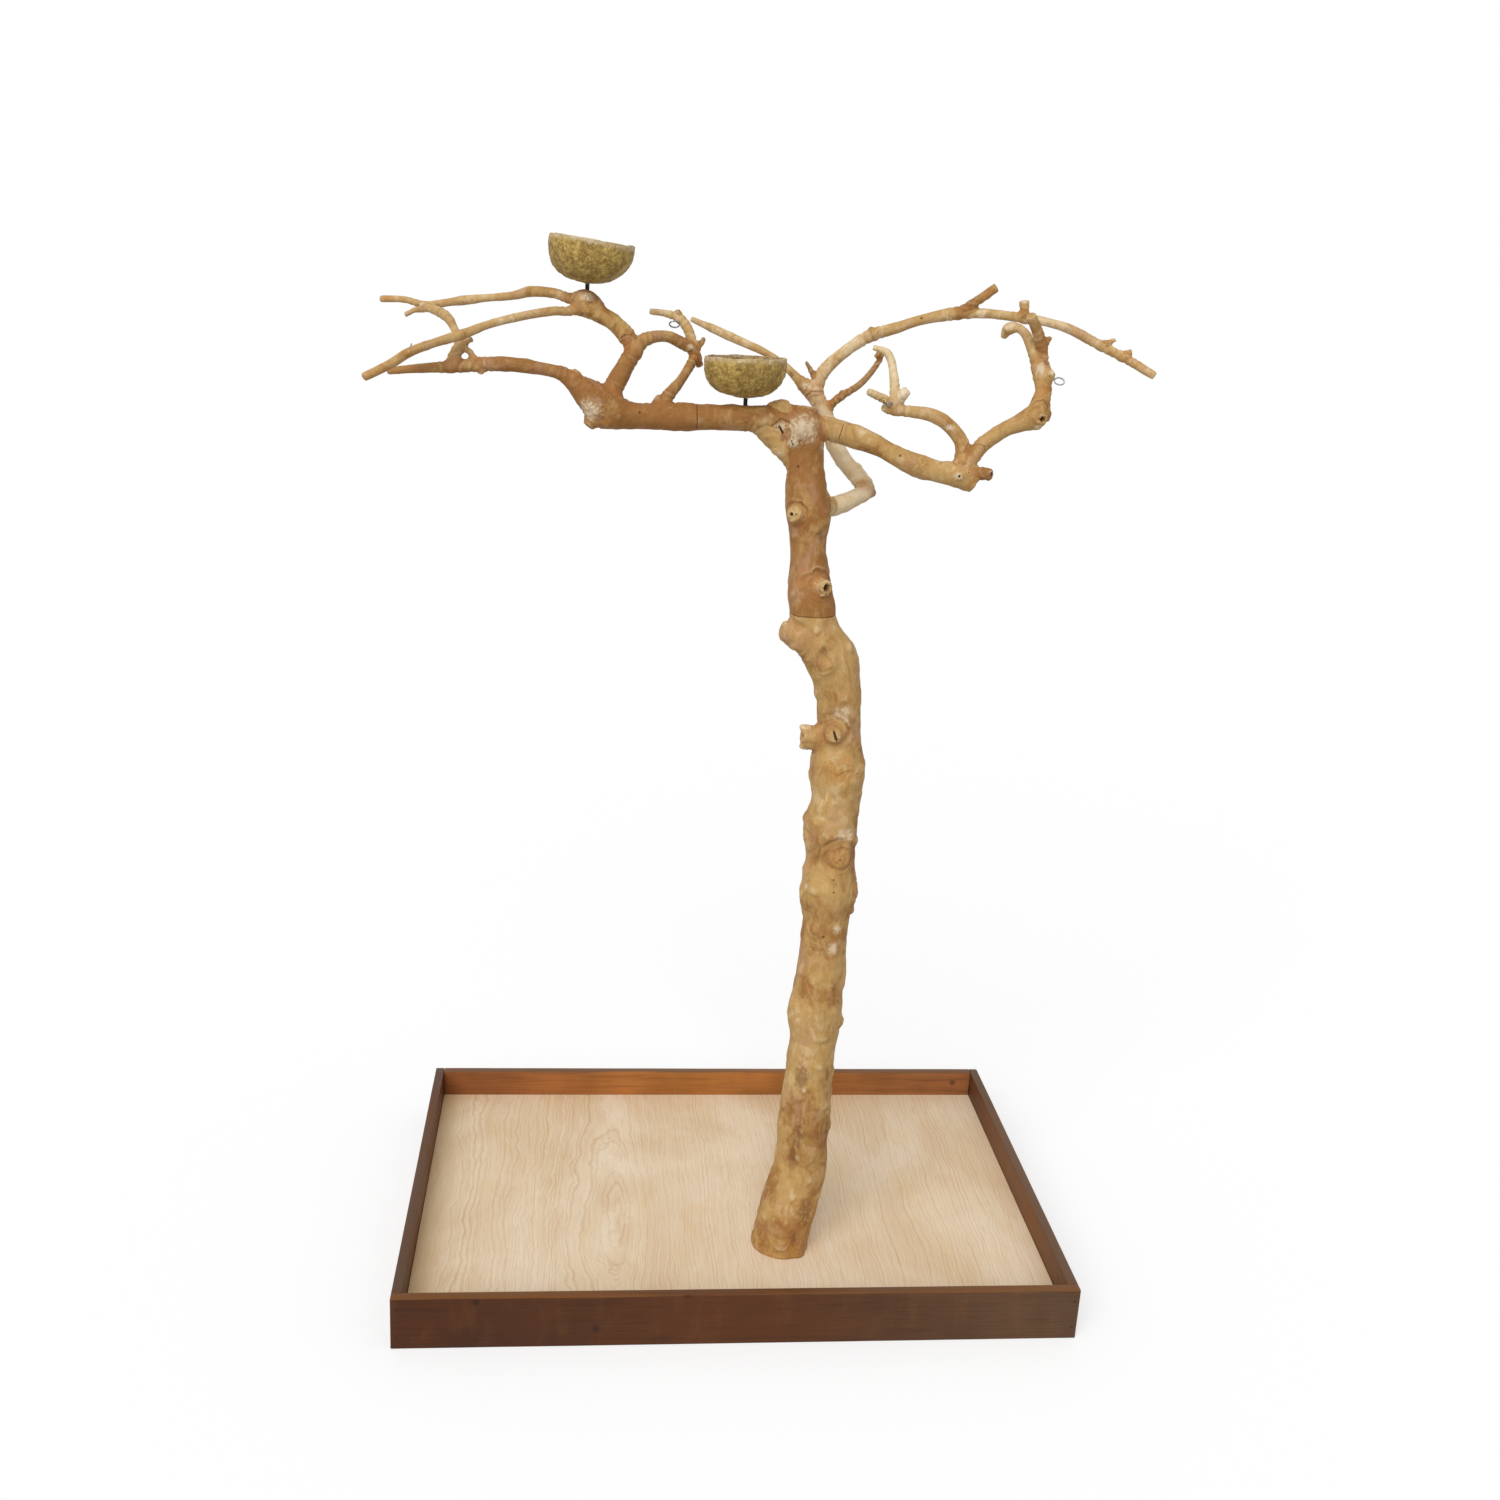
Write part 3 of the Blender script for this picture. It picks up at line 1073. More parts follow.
LEFT_KNOTS = (
    Knot("rough", (-302, 114, 1284), 11, 1.6), Knot("slit", (-295, 121, 1287), 5, 1.6),
    Knot("bump", (-304, 112, 1268), 9, 2.6), Knot("bump", (-292, 116, 1262), 7, 1.8),
    Knot("rough", (-287, 68, 1162), 22, 1.4), Knot("bump", (-290, 70, 1148), 10, 2.2),
    Knot("bump", (-300, 76, 1181), 9, 2.4), Knot("bump", (-277, 75, 1134), 9, 2.6),
    Knot("bump", (-262, 72, 1146), 9, 1.4), Knot("arch", (-252, 105, 1232), 11, 1.2),
    Knot("pit", (-236, 79, 1151), 3, 0.8),
    Knot("healed", (-212, 82, 1155), 6, 1.2), Knot("healed", (-172, 140, 1229), 6, 1.2),
    Knot("bump", (-462, 205, 1272), 5, 1.4), Knot("bump", (-513, 24, 1214), 5, 1.2),
    Knot("pit", (-526, 238, 1262), 2.5, 0.8), Knot("bump", (-431, 73, 1191), 5, 1.4),
    Knot("bump", (-348, 150, 1288), 6, 1.4), Knot("bump", (-398, 176, 1284), 5, 1.2),
    Knot("bump", (-455, 58, 1236), 6, 1.4), Knot("bump", (-400, 76, 1204), 7, 1.4),
    Knot("bump", (-372, 80, 1200), 5, 1.2), Knot("arch", (-230, 116, 1238), 9, 0.9),
    Knot("bleach", (-306, 112, 1288), 13, 6), Knot("bleach", (-300, 70, 1150), 16, 16),
    Knot("rust", (-575, 271, 1267), 40, 20),
    Knot("rust", (-560, 0, 1184), 50, 24), Knot("rust", (-540, 65, 1188), 60, 20),
    Knot("bleach", (-172, 140, 1230), 7, 6), Knot("bleach", (-521, 236, 1263), 7, 4),
    Knot("rust", (-304, 112, 1268), 12, 9), Knot("rust", (-280, 70, 1140), 16, 10),
    Knot("stain", (-158, 148, 1240), 6, 7), Knot("stain", (-188, 165, 1274), 6, 6),
    Knot("stain", (-445, 86, 1231), 4, 4), Knot("stain", (-294, 116, 1286), 6, 4),
    Knot("healed", (-240, 112, 1140), 10, 2.2))

put_up("left_perch_bough", cleaned_wood(LEFT_BOUGH, LEFT_KNOTS, 0.0016), hardwood, "stand",
       "left_bough")


# ------------------------------------------------------------------ right bough
# Dowelled to the crown's right root.  It runs down to a sawn-off fork, where one limb curls
# back over the tray and the other climbs and loops over at the top.

RIGHT_BOUGH = (
    Limb(0, 0.0, RIGHT_ROOT.end, "tip", (
        (22, 97, 1136, 15.5), (44, 94, 1131, 15.5), (63, 91, 1125, 14), (82, 87, 1117, 12),
        (102, 84, 1108, 13.5), (120, 81, 1101, 15), (151, 75, 1094, 14), (177, 71, 1091, 16.5),
        (196, 69, 1080, 11))),
    Limb(1, 0.8, "grown", "tip", ((181, 72, 1092, 10.5), (202, 65, 1096, 8.5),
                                  (215, 60, 1095, 7.5))),
    Limb(1, 0.1, "grown", "tip", (
        (179, 72, 1094, 12), (179, 74, 1112, 11), (177, 78, 1131, 9), (166, 81, 1146, 9),
        (151, 85, 1158, 9), (134, 88, 1165, 8.5), (114, 90, 1167, 7.5), (97, 91, 1168, 7.5),
        (82, 91, 1170, 8), (73, 90, 1173, 6.5))),
    Limb(0, -0.2, "grown", "tip", ((93, 91, 1171, 6), (84, 89, 1177, 5.5), (70, 87, 1183, 5.5),
                                   (51, 82, 1190, 4.5))),
    Limb(0, -0.8, "grown", "tip", (
        (92, 91, 1170, 7), (89, 95, 1183, 7.5), (88, 99, 1195, 6.5), (86, 105, 1213, 5.5),
        (83, 111, 1228, 5.5), (77, 115, 1238, 5), (69, 118, 1241, 4), (60, 120, 1243, 3.5))),
    Limb(1, 0.1, "grown", "grown", (
        (180, 71, 1095, 11.5), (188, 72, 1111, 10.5), (201, 74, 1129, 10), (216, 75, 1142, 10),
        (233, 77, 1153, 10), (252, 80, 1161, 12.5), (271, 83, 1170, 16.5), (277, 87, 1187, 12.5),
        (280, 92, 1202, 10.5), (279, 98, 1217, 12), (275, 103, 1233, 11.5))),
    Limb(0, -0.5, "grown", "tip", (
        (276, 102, 1227, 8.5), (268, 109, 1244, 7.5), (264, 115, 1255, 6.5), (258, 123, 1269, 6),
        (250, 131, 1276, 6), (240, 137, 1275, 8.5), (236, 141, 1269, 6.5), (234, 143, 1262, 3.5))),
    Limb(0, 0.4, "grown", "tip", ((277, 102, 1228, 7.5), (277, 103, 1249, 7), (272, 101, 1262, 7.5),
                                  (263, 95, 1278, 7), (252, 87, 1293, 6.5))),
    Limb(1, -0.9, "grown", "tip", ((91, 94, 1178, 7.5), (96, 90, 1186, 7.5), (102, 86, 1194, 6.5))),
    Limb(1, -0.4, "grown", "tip", ((282, 98, 1216, 8.5), (288, 96, 1222, 7.5),
                                   (291, 95, 1226, 5.5))),
    snag((281, 84, 1171, 11.5), (288, 83, 1178, 5)),
    snag((275, 102, 1256, 6), (285, 100, 1268, 3), 0.5))

RIGHT_KNOTS = (
    Knot("hollow", (214, 55, 1096), 6, 1.8), Knot("arch", (158, 65, 1100), 11, 1.2),
    Knot("bump", (177, 63, 1113), 8, 2.4), Knot("bump", (171, 55, 1092), 8, 2.2),
    Knot("hollow", (172, 54, 1092), 4, 1.0),
    Knot("healed", (184, 56, 1097), 6, 1.6), Knot("slit", (73, 83, 1178), 5, 1.4),
    Knot("bump", (94, 83, 1188), 7, 2.0), Knot("bump", (101, 84, 1193), 5, 1.8),
    Knot("hollow", (277, 66, 1167), 8, 2.2), Knot("bump", (273, 72, 1156), 8, 2.4),
    Knot("arch", (272, 72, 1178), 12, 1.0), Knot("bump", (288, 88, 1224), 6, 1.8),
    Knot("bump", (235, 131, 1274), 6, 1.4), Knot("bump", (216, 68, 1142), 8, 1.4),
    Knot("arch", (196, 64, 1122), 10, 1.0), Knot("pit", (97, 72, 1113), 3, 0.8),
    Knot("rough", (120, 70, 1104), 14, 0.8), Knot("bump", (152, 76, 1156), 7, 1.4),
    Knot("bleach", (171, 55, 1092), 7, 5), Knot("bleach", (158, 74, 1151), 8, 4),
    Knot("bleach", (97, 83, 1190), 11, 10), Knot("bleach", (273, 72, 1157), 7, 5),
    Knot("bleach", (273, 88, 1228), 9, 10), Knot("bleach", (238, 132, 1276), 10, 6),
    Knot("bleach", (288, 88, 1224), 6, 5), Knot("rust", (177, 63, 1112), 9, 8),
    Knot("rust", (193, 58, 1080), 10, 9), Knot("rust", (276, 80, 1200), 14, 14),
    Knot("stain", (280, 93, 1238), 4, 5), Knot("stain", (215, 54, 1096), 6, 6),
    Knot("healed", (120, 96, 1100), 8, 1.8))

put_up("right_perch_bough", cleaned_wood(RIGHT_BOUGH, RIGHT_KNOTS, 0.0016), hardwood, "stand",
       "right_bough")


# ------------------------------------------------------------------ back bough
# It leaves the trunk low at the back, turns sharply at an elbow and climbs behind the
# crown, where it forks into a high arching perch and a thin low one.

BACK_BOUGH = (
    Limb(0, -1.4, BACK_ROOT.end, "grown", (
        (18, 120, 1038, 13), (36, 134, 1041, 12.5), (56, 149, 1047, 11.5), (71, 161, 1056, 12),
        (62, 173, 1071, 12), (44, 183, 1090, 12), (29, 191, 1113, 12), (18, 199, 1143, 11),
        (9, 205, 1162, 11), (-1, 209, 1179, 13), (-1, 210, 1188, 9.5))),
    Limb(1, -0.35, "grown", "tip", (
        (0, 209, 1178, 10), (11, 213, 1204, 9), (30, 217, 1224, 8), (51, 219, 1241, 8),
        (74, 218, 1255, 8.5), (105, 214, 1266, 7.5), (137, 211, 1278, 7), (183, 205, 1289, 8.5),
        (222, 199, 1291, 6.5), (259, 193, 1289, 6.5), (275, 191, 1287, 7.5), (303, 185, 1284, 6),
        (332, 178, 1277, 6.5), (369, 168, 1260, 6.5), (407, 156, 1243, 6.5),
        (442, 140, 1224, 5.5))),
    Limb(0, 0.8, "grown", "tip", ((186, 204, 1290, 6.5), (206, 197, 1305, 6.5),
                                  (230, 187, 1325, 6))),
    Limb(0, 0.2, "grown", "tip", ((273, 191, 1288, 5.5), (271, 190, 1299, 6), (269, 190, 1310, 6.5))),
    Limb(1, -0.2, "grown", "tip", (
        (0, 209, 1178, 8.5), (-11, 211, 1184, 10.5), (-24, 214, 1195, 6.5), (-40, 218, 1209, 5),
        (-65, 225, 1224, 5), (-101, 233, 1238, 6), (-135, 241, 1251, 6), (-154, 244, 1258, 4.5),
        (-167, 247, 1263, 3.5))),
    Limb(1, 1.1, "grown", "tip", (
        (15, 201, 1149, 6.5), (26, 199, 1167, 6), (41, 194, 1179, 5), (58, 189, 1192, 4.5),
        (73, 183, 1212, 4), (82, 177, 1232, 3.5), (77, 175, 1240, 3))),
    Limb(1, 0.0, "grown", "tip", ((66, 160, 1057, 10), (77, 165, 1053, 8), (86, 168, 1051, 4.5))),
    Limb(1, 0.4, "grown", "tip", ((6, 211, 1188, 6), (-5, 210, 1204, 4), (-14, 208, 1217, 2))),
    snag((373, 167, 1259, 5.5), (391, 163, 1267, 2.5), 0.3),
    snag((400, 158, 1247, 5.5), (412, 155, 1254, 3.5), 0.3),
    snag((73, 218, 1255, 8.5), (76, 216, 1264, 5.5), 0.2),
    snag((79, 177, 1234, 3.5), (72, 175, 1229, 2.5), 0.9),
    snag((32, 196, 1172, 4.5), (37, 196, 1182, 3), 0.9))

BACK_KNOTS = (
    Knot("healed", (-13, 198, 1185), 6, 1.6), Knot("arch", (0, 198, 1166), 13, 1.2),
    Knot("bump", (40, 176, 1107), 9, 2.2), Knot("bump", (73, 147, 1052), 9, 1.8),
    Knot("bump", (75, 209, 1261), 7, 1.8), Knot("bump", (179, 197, 1288), 8, 1.8),
    Knot("bump", (326, 173, 1280), 5, 1.4), Knot("bump", (405, 149, 1247), 5, 1.2),
    Knot("bump", (302, 180, 1285), 5, 1.2), Knot("bump", (30, 208, 1226), 7, 1.4),
    Knot("pit", (379, 159, 1259), 2.5, 0.7), Knot("pit", (137, 206, 1280), 3, 0.8),
    Knot("arch", (30, 122, 1042), 13, 1.2), Knot("slit", (58, 176, 1080), 7, 1.6),
    Knot("rough", (24, 186, 1130), 14, 0.9), Knot("bump", (222, 192, 1292), 6, 1.4),
    Knot("bleach", (-13, 198, 1186), 7, 6), Knot("bleach", (50, 146, 1050), 26, 14),
    Knot("bleach", (44, 176, 1100), 16, 16), Knot("bleach", (266, 184, 1310), 7, 5),
    Knot("rust", (410, 150, 1244), 44, 26), Knot("rust", (226, 184, 1318), 22, 18),
    Knot("rust", (6, 197, 1172), 22, 16),
    Knot("rust", (268, 185, 1296), 9, 6), Knot("stain", (-13, 207, 1217), 5, 6),
    Knot("stain", (-32, 211, 1199), 5, 5), Knot("stain", (272, 184, 1290), 7, 4),
    Knot("healed", (10, 218, 1150), 8, 1.8))

put_up("back_perch_bough", cleaned_wood(BACK_BOUGH, BACK_KNOTS, 0.0016), hardwood, "stand",
       "back_bough")


# ------------------------------------------------------------------ dowels
# Plain turned hardwood dowels, glued, one in the trunk's seam and one in each bough joint.
# They are hidden in the finished stand.

turned_dowel = bare_pine("turned_dowel", "Z", (206, 170, 122), (176, 134, 86))
for peg in ("seam_dowel", "left_bough_dowel", "right_bough_dowel", "back_bough_dowel"):
    dress(peg, turned_dowel)


# ------------------------------------------------------------------ cup studs
# A length of blackened M6 rod stands in the limb under each cup, and the cup's insert turns
# down on it.

STUD_RADIUS = 0.003
THREAD_PITCH = 0.001
THREAD_DEPTH = 0.0006
STUD_CHAMFER = 0.0006
STEPS_A_TURN = 24
RINGS_A_PITCH = 6


def threaded_rod(low, high):
    """A rod with a cut thread: a wound skin that sinks between the turns."""
    middle = Vector(((low.x + high.x) / 2, (low.y + high.y) / 2, 0))
    length = high.z - low.z
    rings = int(length / THREAD_PITCH * RINGS_A_PITCH)
    points = []
    for ring in range(rings + 1):
        free = min(ring, rings - ring) / rings * length
        for step in range(STEPS_A_TURN):
            turned = ring / RINGS_A_PITCH - step / STEPS_A_TURN
            flank = abs(2 * (turned % 1) - 1)
            radius = STUD_RADIUS - THREAD_DEPTH * (1 - flank)
            radius -= max(0, STUD_CHAMFER - free)
            angle = 2 * math.pi * step / STEPS_A_TURN
            points.append((middle.x + radius * math.cos(angle),
                           middle.y + radius * math.sin(angle), low.z + length * ring / rings))
    mesh = bpy.data.meshes.new("threaded_rod")
    mesh.from_pydata(points, [], tube_faces(0, rings + 1, STEPS_A_TURN))
    return mesh


stud_steel = plated_steel("darkened_steel", (104, 108, 104), (70, 74, 72), 0.42)
for stud in ("left_bowl_stud", "right_bowl_stud"):
    rod = threaded_rod(*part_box(stud))
    put_up(stud.replace("bowl", "cup") + "_thread", rod, stud_steel, "stand", stud)


# ------------------------------------------------------------------ coconut cups
# Half shells of coconut, sawn across and sanded outside and in, with a pale uneven rim.  A
# flanged insert is let into the bottom of each, and it turns on the stud.

# Seat is the middle of the base, lean how far the rim's middle lies off it, and rim how far
# the rim stands above the widest place.  Lengths are in metres and the tilt in degrees.
Cup = namedtuple("Cup", "seat lean half_width depth rim tilt seed")
LEFT_CUP = Cup((-0.235, 0.0, 1.336), (0.004, 0.0), 0.055, 0.047, 0.007, 6.0, 3.0)
RIGHT_CUP = Cup((-0.032, -0.030, 1.2075), (-0.003, 0.0), 0.054, 0.045, 0.0065, -1.0, 11.0)

SHELL_WALL = 0.005
SHELL_HOLE = 0.0046
SHELL_AROUND = 240
SHELL_UP = 88
SHELL_FULLNESS = 0.84                   # 1 is a plain ellipse, and less is squarer
RIM_LOW, RIM_WAVE, RIM_NICKS = 0.0006, 0.0016, 0.0006
RIM_WORN_FROM, RIM_WORN = 0.94, 0.0006
SKIN_SUNK, SKIN_SWELL, SKIN_PEBBLE, SKIN_FIBRE = 0.0013, 0.0022, 0.0007, 0.0003
INSIDE_SWELL, INSIDE_PEBBLE = 0.0005, 0.0001
# How close the swellings, the pebbles and the small pebbles lie, and the fibres each way.
SWELLS, PEBBLES, SMALL_PEBBLES = 26, 190, 420
FIBRES_ACROSS, FIBRES_UP = 330, 70


def shell_point(cup, turn, share, inward):
    """A point on the shell: share runs from the hole (0) to the rim (1), inward from the skin."""
    wide, deep = cup.half_width - inward, cup.depth - inward
    middle = Vector((cup.lean[0], cup.lean[1], cup.depth))
    tilt = math.tan(math.radians(cup.tilt))
    around = Vector((2.4 * math.cos(turn), 2.4 * math.sin(turn), cup.seed))
    rim = cup.rim - RIM_LOW + RIM_WAVE * noise.noise(around) + RIM_NICKS * noise.noise(around * 5)
    last = math.pi / 2 + math.asin(min(0.9, (rim - tilt * wide * math.cos(turn)) / deep))
    first = math.asin((SHELL_HOLE / wide) ** (1 / SHELL_FULLNESS))
    climb = first + (last - first) * share
    out = wide * math.sin(climb) ** SHELL_FULLNESS
    drop = math.cos(climb)
    if drop > 0:
        drop **= SHELL_FULLNESS
    return middle + Vector((out * math.cos(turn), out * math.sin(turn), -deep * drop))


def husk_relief(spot, seed, inside):
    """How far the shell stands out at a spot: pebbly outside, and much smoother inside."""
    broad = noise.noise(spot * SWELLS + seed)
    pebble = noise.noise(spot * PEBBLES + seed) + 0.6 * noise.noise(spot * SMALL_PEBBLES + seed)
    fibre = noise.noise(Vector((spot.x * FIBRES_ACROSS, spot.y * FIBRES_ACROSS,
                                spot.z * FIBRES_UP)) + seed)
    rough = SKIN_SWELL * broad + SKIN_PEBBLE * pebble + SKIN_FIBRE * fibre - SKIN_SUNK
    smooth = INSIDE_SWELL * broad + INSIDE_PEBBLE * pebble
    return rough * (1 - inside) + smooth * inside


def coconut_shell(cup):
    """A sanded half shell: fibrous and pebbly outside, smoother inside, with a broad rim."""
    profile = [(share / SHELL_UP, 0.0) for share in range(SHELL_UP + 1)]
    profile += [(1.0, step / 4) for step in (1, 2, 3)]
    profile += [(share / SHELL_UP, 1.0) for share in range(SHELL_UP, -1, -1)]
    middle = Vector((cup.lean[0], cup.lean[1], cup.depth))
    seed = Vector((cup.seed, 0, 0))
    points, faces = [], []
    for share, inside in profile:
        for step in range(SHELL_AROUND):
            turn = 2 * math.pi * step / SHELL_AROUND
            spot = shell_point(cup, turn, share, SHELL_WALL * inside)
            way = (spot - middle).normalized()
            spot += way * (min(1.0, share * 6) * husk_relief(spot, seed, inside))
            if share > RIM_WORN_FROM:
                wave = 1 + noise.noise(Vector((spot.x * 60, spot.y * 60, cup.seed)))
                spot.z -= RIM_WORN * wave * (share - RIM_WORN_FROM) / (1 - RIM_WORN_FROM)
            points.append(np.clip(Vector(cup.seat) + spot, cad_low, cad_high))
    for row in range(len(profile)):
        beyond = (row + 1) % len(profile)
        for step in range(SHELL_AROUND):
            after = (step + 1) % SHELL_AROUND
            faces.append((row * SHELL_AROUND + step, row * SHELL_AROUND + after,
                          beyond * SHELL_AROUND + after, beyond * SHELL_AROUND + step))
    mesh = bpy.data.meshes.new("coconut_shell")
    mesh.from_pydata(points, [], faces)
    up, into = np.repeat(np.array(profile), SHELL_AROUND, axis=0).T
    carry(mesh, "up_the_shell", up)
    carry(mesh, "into_the_shell", into)
    mesh.shade_smooth()
    return mesh


def sanded_coconut():
    """Golden-brown husk fibres in pebbly tufts, brown inside, sawn pale at the rim."""
    shell = Finish("sanded_coconut", Roughness=0.55, Specular_IOR_Level=0.3)
    threads = shell.cloud(shell.place((300, 300, 110)), 4, 0.65, 1.2)
    husk = shell.cloud(shell.place((62, 62, 62), (2.1, 0.7, 4.4)), 5, 0.7, 0.8)
    tufts = shell.cells(shell.place((240, 240, 200)))
    body = shell.tint(shell.span(husk, 0.34, 0.66), dye(148, 116, 54), dye(206, 174, 96))
    body = shell.tint(shell.span(threads, 0.5, 0.68, 0, 0.5), body, dye(112, 80, 38))
    body = shell.tint(shell.span(threads, 0.28, 0.44, 0.6, 0), body, dye(232, 206, 128))
    body = shell.tint(shell.span(tufts, 0.45, 0.8, 0, 0.4), body, dye(98, 68, 32))
    inside = shell.tint(shell.span(husk, 0.3, 0.7), dye(126, 90, 52), dye(158, 120, 74))
    body = shell.tint(shell.span(shell.carried("into_the_shell", "Fac"), 0.7, 0.95), body, inside)
    ragged = shell.sum("ADD", shell.carried("up_the_shell", "Fac"),
                       shell.span(threads, 0.25, 0.75, -0.03, 0.03))
    rim = shell.tint(shell.span(husk, 0.35, 0.65), dye(216, 196, 156), dye(188, 160, 110))
    body = shell.tint(shell.span(ragged, 0.905, 0.955, 0, 0.9), body, rim)
    height = shell.sum("SUBTRACT", threads, shell.sum("MULTIPLY", tufts, 0.9))
    return shell.finish(body, shell.span(threads, 0.3, 0.7, 0.45, 0.65),
                        shell.relief(height, 0.0012))


coconut = sanded_coconut()
put_up("left_coconut_cup", coconut_shell(LEFT_CUP), coconut, "left_cup",
       "left_bowl")
put_up("right_coconut_cup", coconut_shell(RIGHT_CUP), coconut, "right_cup",
       "right_bowl")
for insert in ("left_bowl_insert", "right_bowl_insert"):
    dress(insert, zinc)


# ------------------------------------------------------------------ eye screws
# Bright wire bent into open loops, threaded at the end and screwed into the limbs, for toys
# to hang from.

WIRE_RADIUS = 0.001
AROUND_WIRE = 16
LOOP_RADIUS = 0.0046
LOOP_STRETCH = 1.42
LOOP_START, LOOP_GAP = math.radians(7), math.radians(24)
LOOP_STEPS = 72
SHANK_LENGTH = 0.01925
THREADED_LENGTH, THREADED_STEPS = 0.0115, 90
BARE_STEPS = 6
LOOP_CLEAR = 0.0006
WIRE_PITCH = 0.0008
WIRE_THREAD_DEPTH = 0.00028
ROUNDED_END = 0.6

# Middle is the middle of the loop, way the direction that the wire comes out in, and roll
# how many degrees the loop is turned about it.
Eye = namedtuple("Eye", "node middle way roll")
EYES = (
    Eye("left_eye_screw", (-0.4440, -0.0854, 1.2517), (0, 0.958, 0.287), 20),
    Eye("middle_eye_screw", (-0.1231, 0.0280, 1.2914), (-0.960, -0.240, 0.144), 70),
    Eye("right_eye_screw", (0.1471, -0.0563, 1.2105), (-0.268, -0.894, 0.358), 80),
    Eye("outer_eye_screw", (0.3709, -0.0352, 1.2477), (0.984, -0.098, -0.148), 60))


def bent_wire():
    """The wire's line in its own plane, as across, up and whether a thread is cut in it.

    It runs up the shank and round the loop, which isn't quite shut.
    """
    spots = [(0.0, -SHANK_LENGTH + THREADED_LENGTH * step / THREADED_STEPS, True)
             for step in range(THREADED_STEPS + 1)]
    thread_top = spots[-1][1]
    shank_top = -LOOP_RADIUS * LOOP_STRETCH - LOOP_CLEAR
    spots += [(0.0, thread_top + (shank_top - thread_top) * step / BARE_STEPS, False)
              for step in range(1, BARE_STEPS)]
    for step in range(LOOP_STEPS + 1):
        angle = LOOP_START - math.pi / 2 + (2 * math.pi - LOOP_GAP) * step / LOOP_STEPS
        spots.append((LOOP_RADIUS * math.cos(angle),
                      LOOP_RADIUS * LOOP_STRETCH * math.sin(angle), False))
    return spots


def eye_screw(eye):
    """A wire of even thickness along its line, with a cut thread and rounded ends."""
    spots = bent_wire()
    turned = Vector((0, 0, 1)).rotation_difference(Vector(eye.way)).to_matrix()
    turned = turned @ Matrix.Rotation(math.radians(eye.roll), 3, "Z")
    line = [Vector((0, across, up)) for across, up, cut in spots]
    side = Vector((1, 0, 0))
    points = []
    for index, (spot, (across, up, cut)) in enumerate(zip(line, spots)):
        before, after = line[max(0, index - 1)], line[min(len(line) - 1, index + 1)]
        cross = (after - before).normalized().cross(side)
        radius = WIRE_RADIUS
        if index in (0, len(line) - 1):
            radius *= ROUNDED_END
        for step in range(AROUND_WIRE):
            angle = 2 * math.pi * step / AROUND_WIRE
            thin = 0.0
            if cut:
                turn = up / WIRE_PITCH - step / AROUND_WIRE
                thin = WIRE_THREAD_DEPTH * (1 - abs(2 * (turn % 1) - 1))
            ring = (radius - thin) * (math.cos(angle) * side + math.sin(angle) * cross)
            points.append(Vector(eye.middle) + turned @ (spot + ring))
    mesh = bpy.data.meshes.new("eye_wire")
    mesh.from_pydata(points, [], tube_faces(0, len(line), AROUND_WIRE))
    mesh.shade_smooth()
    return mesh


bright_wire = plated_steel("bright_wire", (168, 170, 170), (118, 120, 120), 0.3)
for eye in EYES:
    put_up(eye.node.replace("eye_screw", "bent_eye"), eye_screw(eye), bright_wire, "stand",
           eye.node)


# ------------------------------------------------------------------ the stand in its light
# A pale sweep under soft daylight from all round, seen from in front and a little above.

CAMERA_PLACE = Vector((-0.2230, -2.0437, 1.3555))
CAMERA_TURN = math.radians(-6.28)
CAMERA_DIP = math.radians(16.88)
CAMERA_ROLL = math.radians(3.20)
CAMERA_LENS = 37.41
CAMERA_SENSOR = 36
FAR_CLIP = 50

# A white sheet that faces the sun squarely renders as SKY_LEVEL + SUN_LEVEL.
SKY_LEVEL = 0.5
SUN_LEVEL = 0.64
SUN_WIDTH = math.radians(48)
SUN_FROM = Vector((-0.35, -0.80, 0.72)).normalized()
FLOOR_FACING = SUN_FROM.z
PAPER = 0.5
SWEEP_REACH = 40


def set_camera():
    """Stand the camera where the photograph was taken from."""
    forward = Vector((-math.sin(CAMERA_TURN) * math.cos(CAMERA_DIP),
                      math.cos(CAMERA_TURN) * math.cos(CAMERA_DIP), -math.sin(CAMERA_DIP)))
    level = Vector((math.cos(CAMERA_TURN), math.sin(CAMERA_TURN), 0))
    upright = level.cross(forward)
    right = math.cos(CAMERA_ROLL) * level + math.sin(CAMERA_ROLL) * upright
    above = right.cross(forward)
    camera = bpy.data.objects.new("camera", bpy.data.cameras.new("camera"))
    camera.data.lens = CAMERA_LENS
    camera.data.sensor_width = CAMERA_SENSOR
    camera.data.clip_end = FAR_CLIP
    bpy.context.scene.collection.objects.link(camera)
    camera.matrix_world = Matrix((
        (right.x, above.x, -forward.x, CAMERA_PLACE.x),
        (right.y, above.y, -forward.y, CAMERA_PLACE.y),
        (right.z, above.z, -forward.z, CAMERA_PLACE.z),
        (0, 0, 0, 1)))
    bpy.context.scene.camera = camera


def seen_directly(tree):
    """1 where the camera, a gloss or a clear piece sees the surface, and 0 for light."""
    path = tree.nodes.new("ShaderNodeLightPath")
    total = path.outputs["Is Camera Ray"]
    for ray in ("Is Glossy Ray", "Is Transmission Ray"):
        step = tree.nodes.new("ShaderNodeMath")
        step.operation = "MAXIMUM"
        tree.links.new(total, step.inputs[0])
        tree.links.new(path.outputs[ray], step.inputs[1])
        total = step.outputs["Value"]
    return total


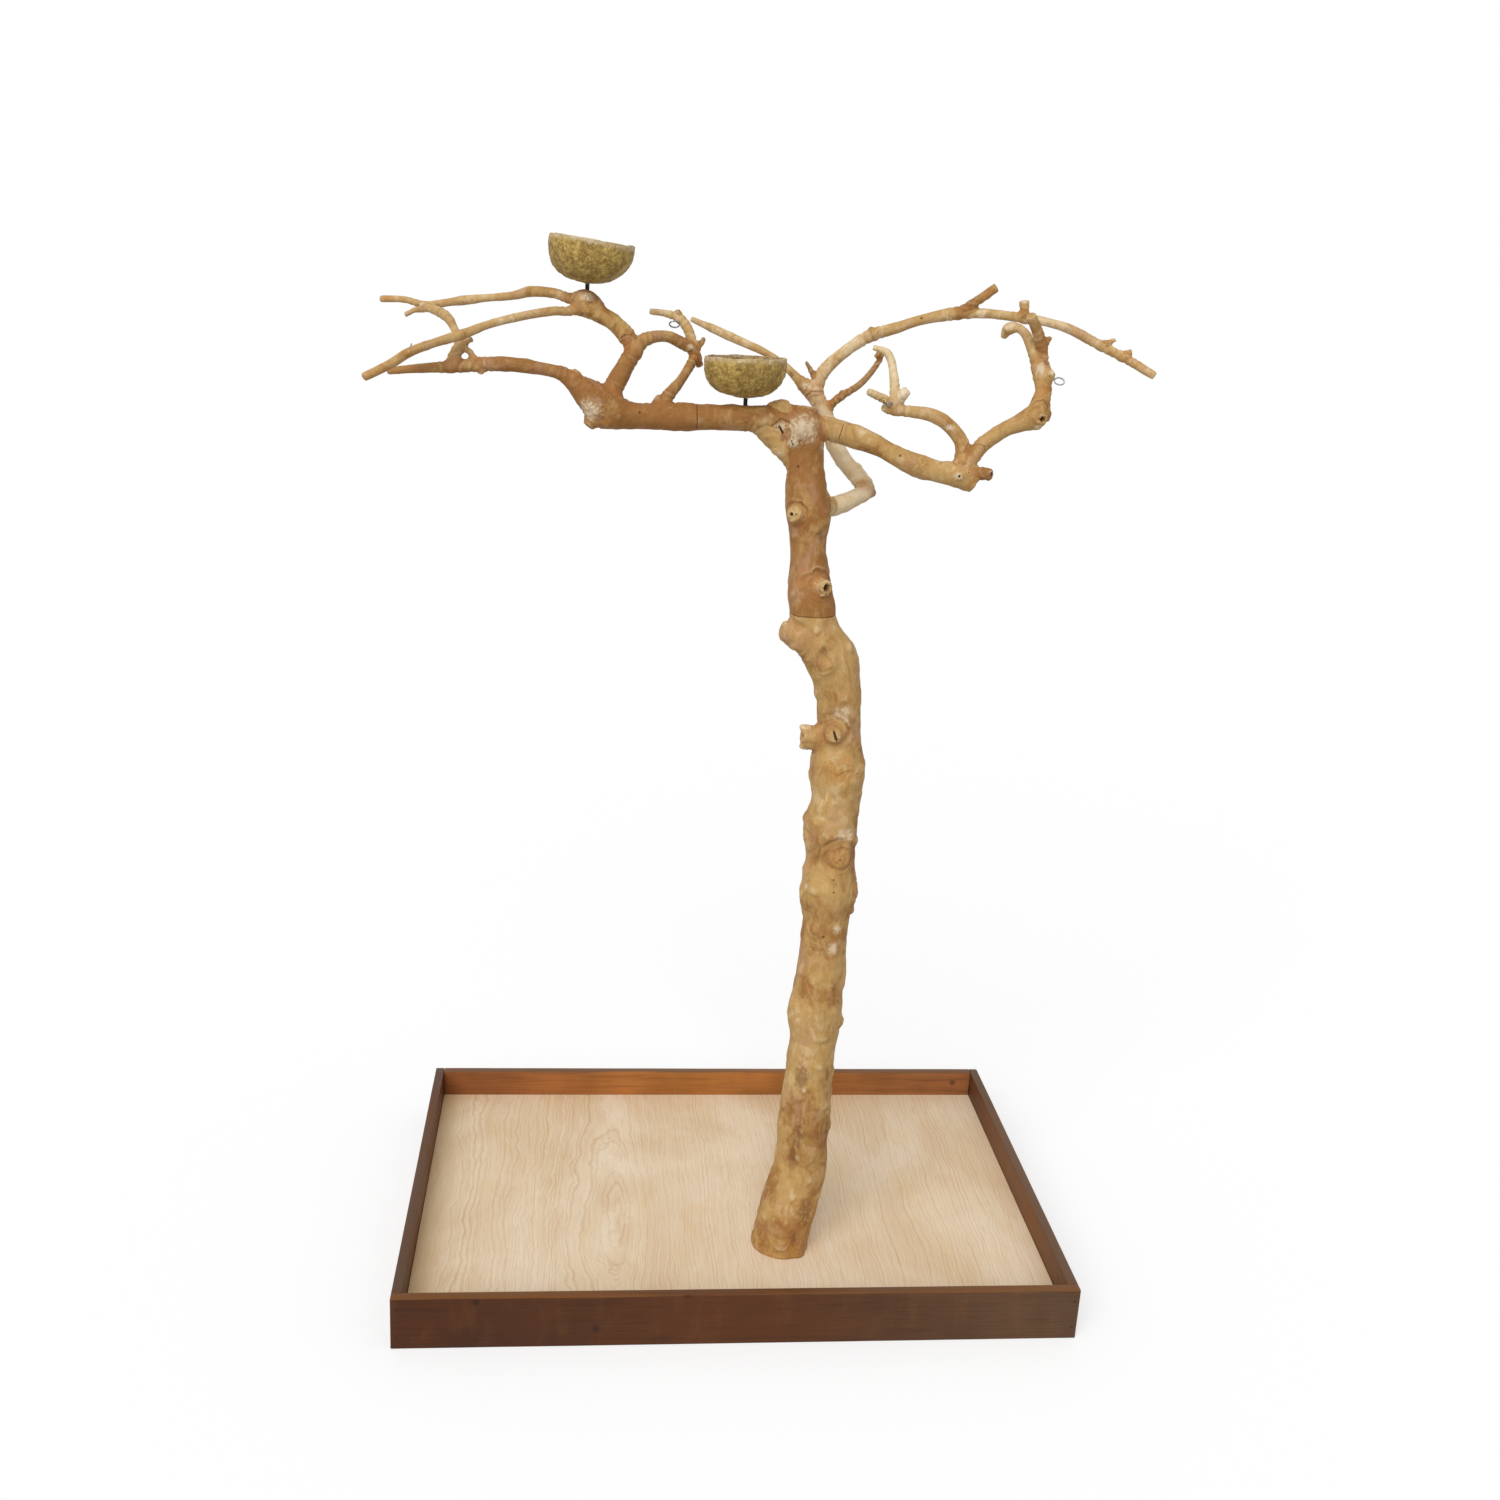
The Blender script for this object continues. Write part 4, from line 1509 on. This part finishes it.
def pale_world():
    """A white sky that lights the stand at SKY_LEVEL and looks white."""
    world = bpy.data.worlds.new("daylight")
    world.use_nodes = True
    bpy.context.scene.world = world
    tree = world.node_tree
    sky = tree.nodes["Background"]
    sky.inputs["Color"].default_value = (1, 1, 1, 1)
    strength = tree.nodes.new("ShaderNodeMapRange")
    tree.links.new(seen_directly(tree), strength.inputs["Value"])
    strength.inputs["To Min"].default_value = SKY_LEVEL
    strength.inputs["To Max"].default_value = 1.0
    tree.links.new(strength.outputs["Result"], sky.inputs["Strength"])


def pale_floor():
    """A sweep that reads as white where it is lit and keeps the stand's soft shadow."""
    sweep = bmesh.new()
    bmesh.ops.create_grid(sweep, x_segments=1, y_segments=1, size=SWEEP_REACH)
    mesh = bpy.data.meshes.new("pale_floor")
    sweep.to_mesh(mesh)
    sweep.free()
    floor = bpy.data.objects.new("pale_floor", mesh)
    bpy.context.scene.collection.objects.link(floor)
    paper = bpy.data.materials.new("pale_paper")
    paper.use_nodes = True
    tree = paper.node_tree
    shader = tree.nodes["Principled BSDF"]
    shader.inputs["Base Color"].default_value = (PAPER, PAPER, PAPER, 1)
    shader.inputs["Roughness"].default_value = 1.0
    shader.inputs["Specular IOR Level"].default_value = 0
    shader.inputs["Emission Color"].default_value = (1, 1, 1, 1)
    lift = tree.nodes.new("ShaderNodeMath")
    lift.operation = "MULTIPLY"
    lift.inputs[1].default_value = 1 - PAPER * (SKY_LEVEL + SUN_LEVEL * FLOOR_FACING)
    tree.links.new(seen_directly(tree), lift.inputs[0])
    tree.links.new(lift.outputs["Value"], shader.inputs["Emission Strength"])
    mesh.materials.append(paper)


def broad_sun():
    """Soft daylight from in front, over the left shoulder."""
    sun = bpy.data.objects.new("daylight", bpy.data.lights.new("daylight", "SUN"))
    sun.data.energy = SUN_LEVEL * math.pi
    sun.data.angle = SUN_WIDTH
    sun.rotation_mode = "QUATERNION"
    sun.rotation_quaternion = (-SUN_FROM).to_track_quat("-Z", "Y")
    bpy.context.scene.collection.objects.link(sun)


set_camera()
broad_sun()
pale_world()
pale_floor()
bpy.context.scene.view_settings.view_transform = "Standard"
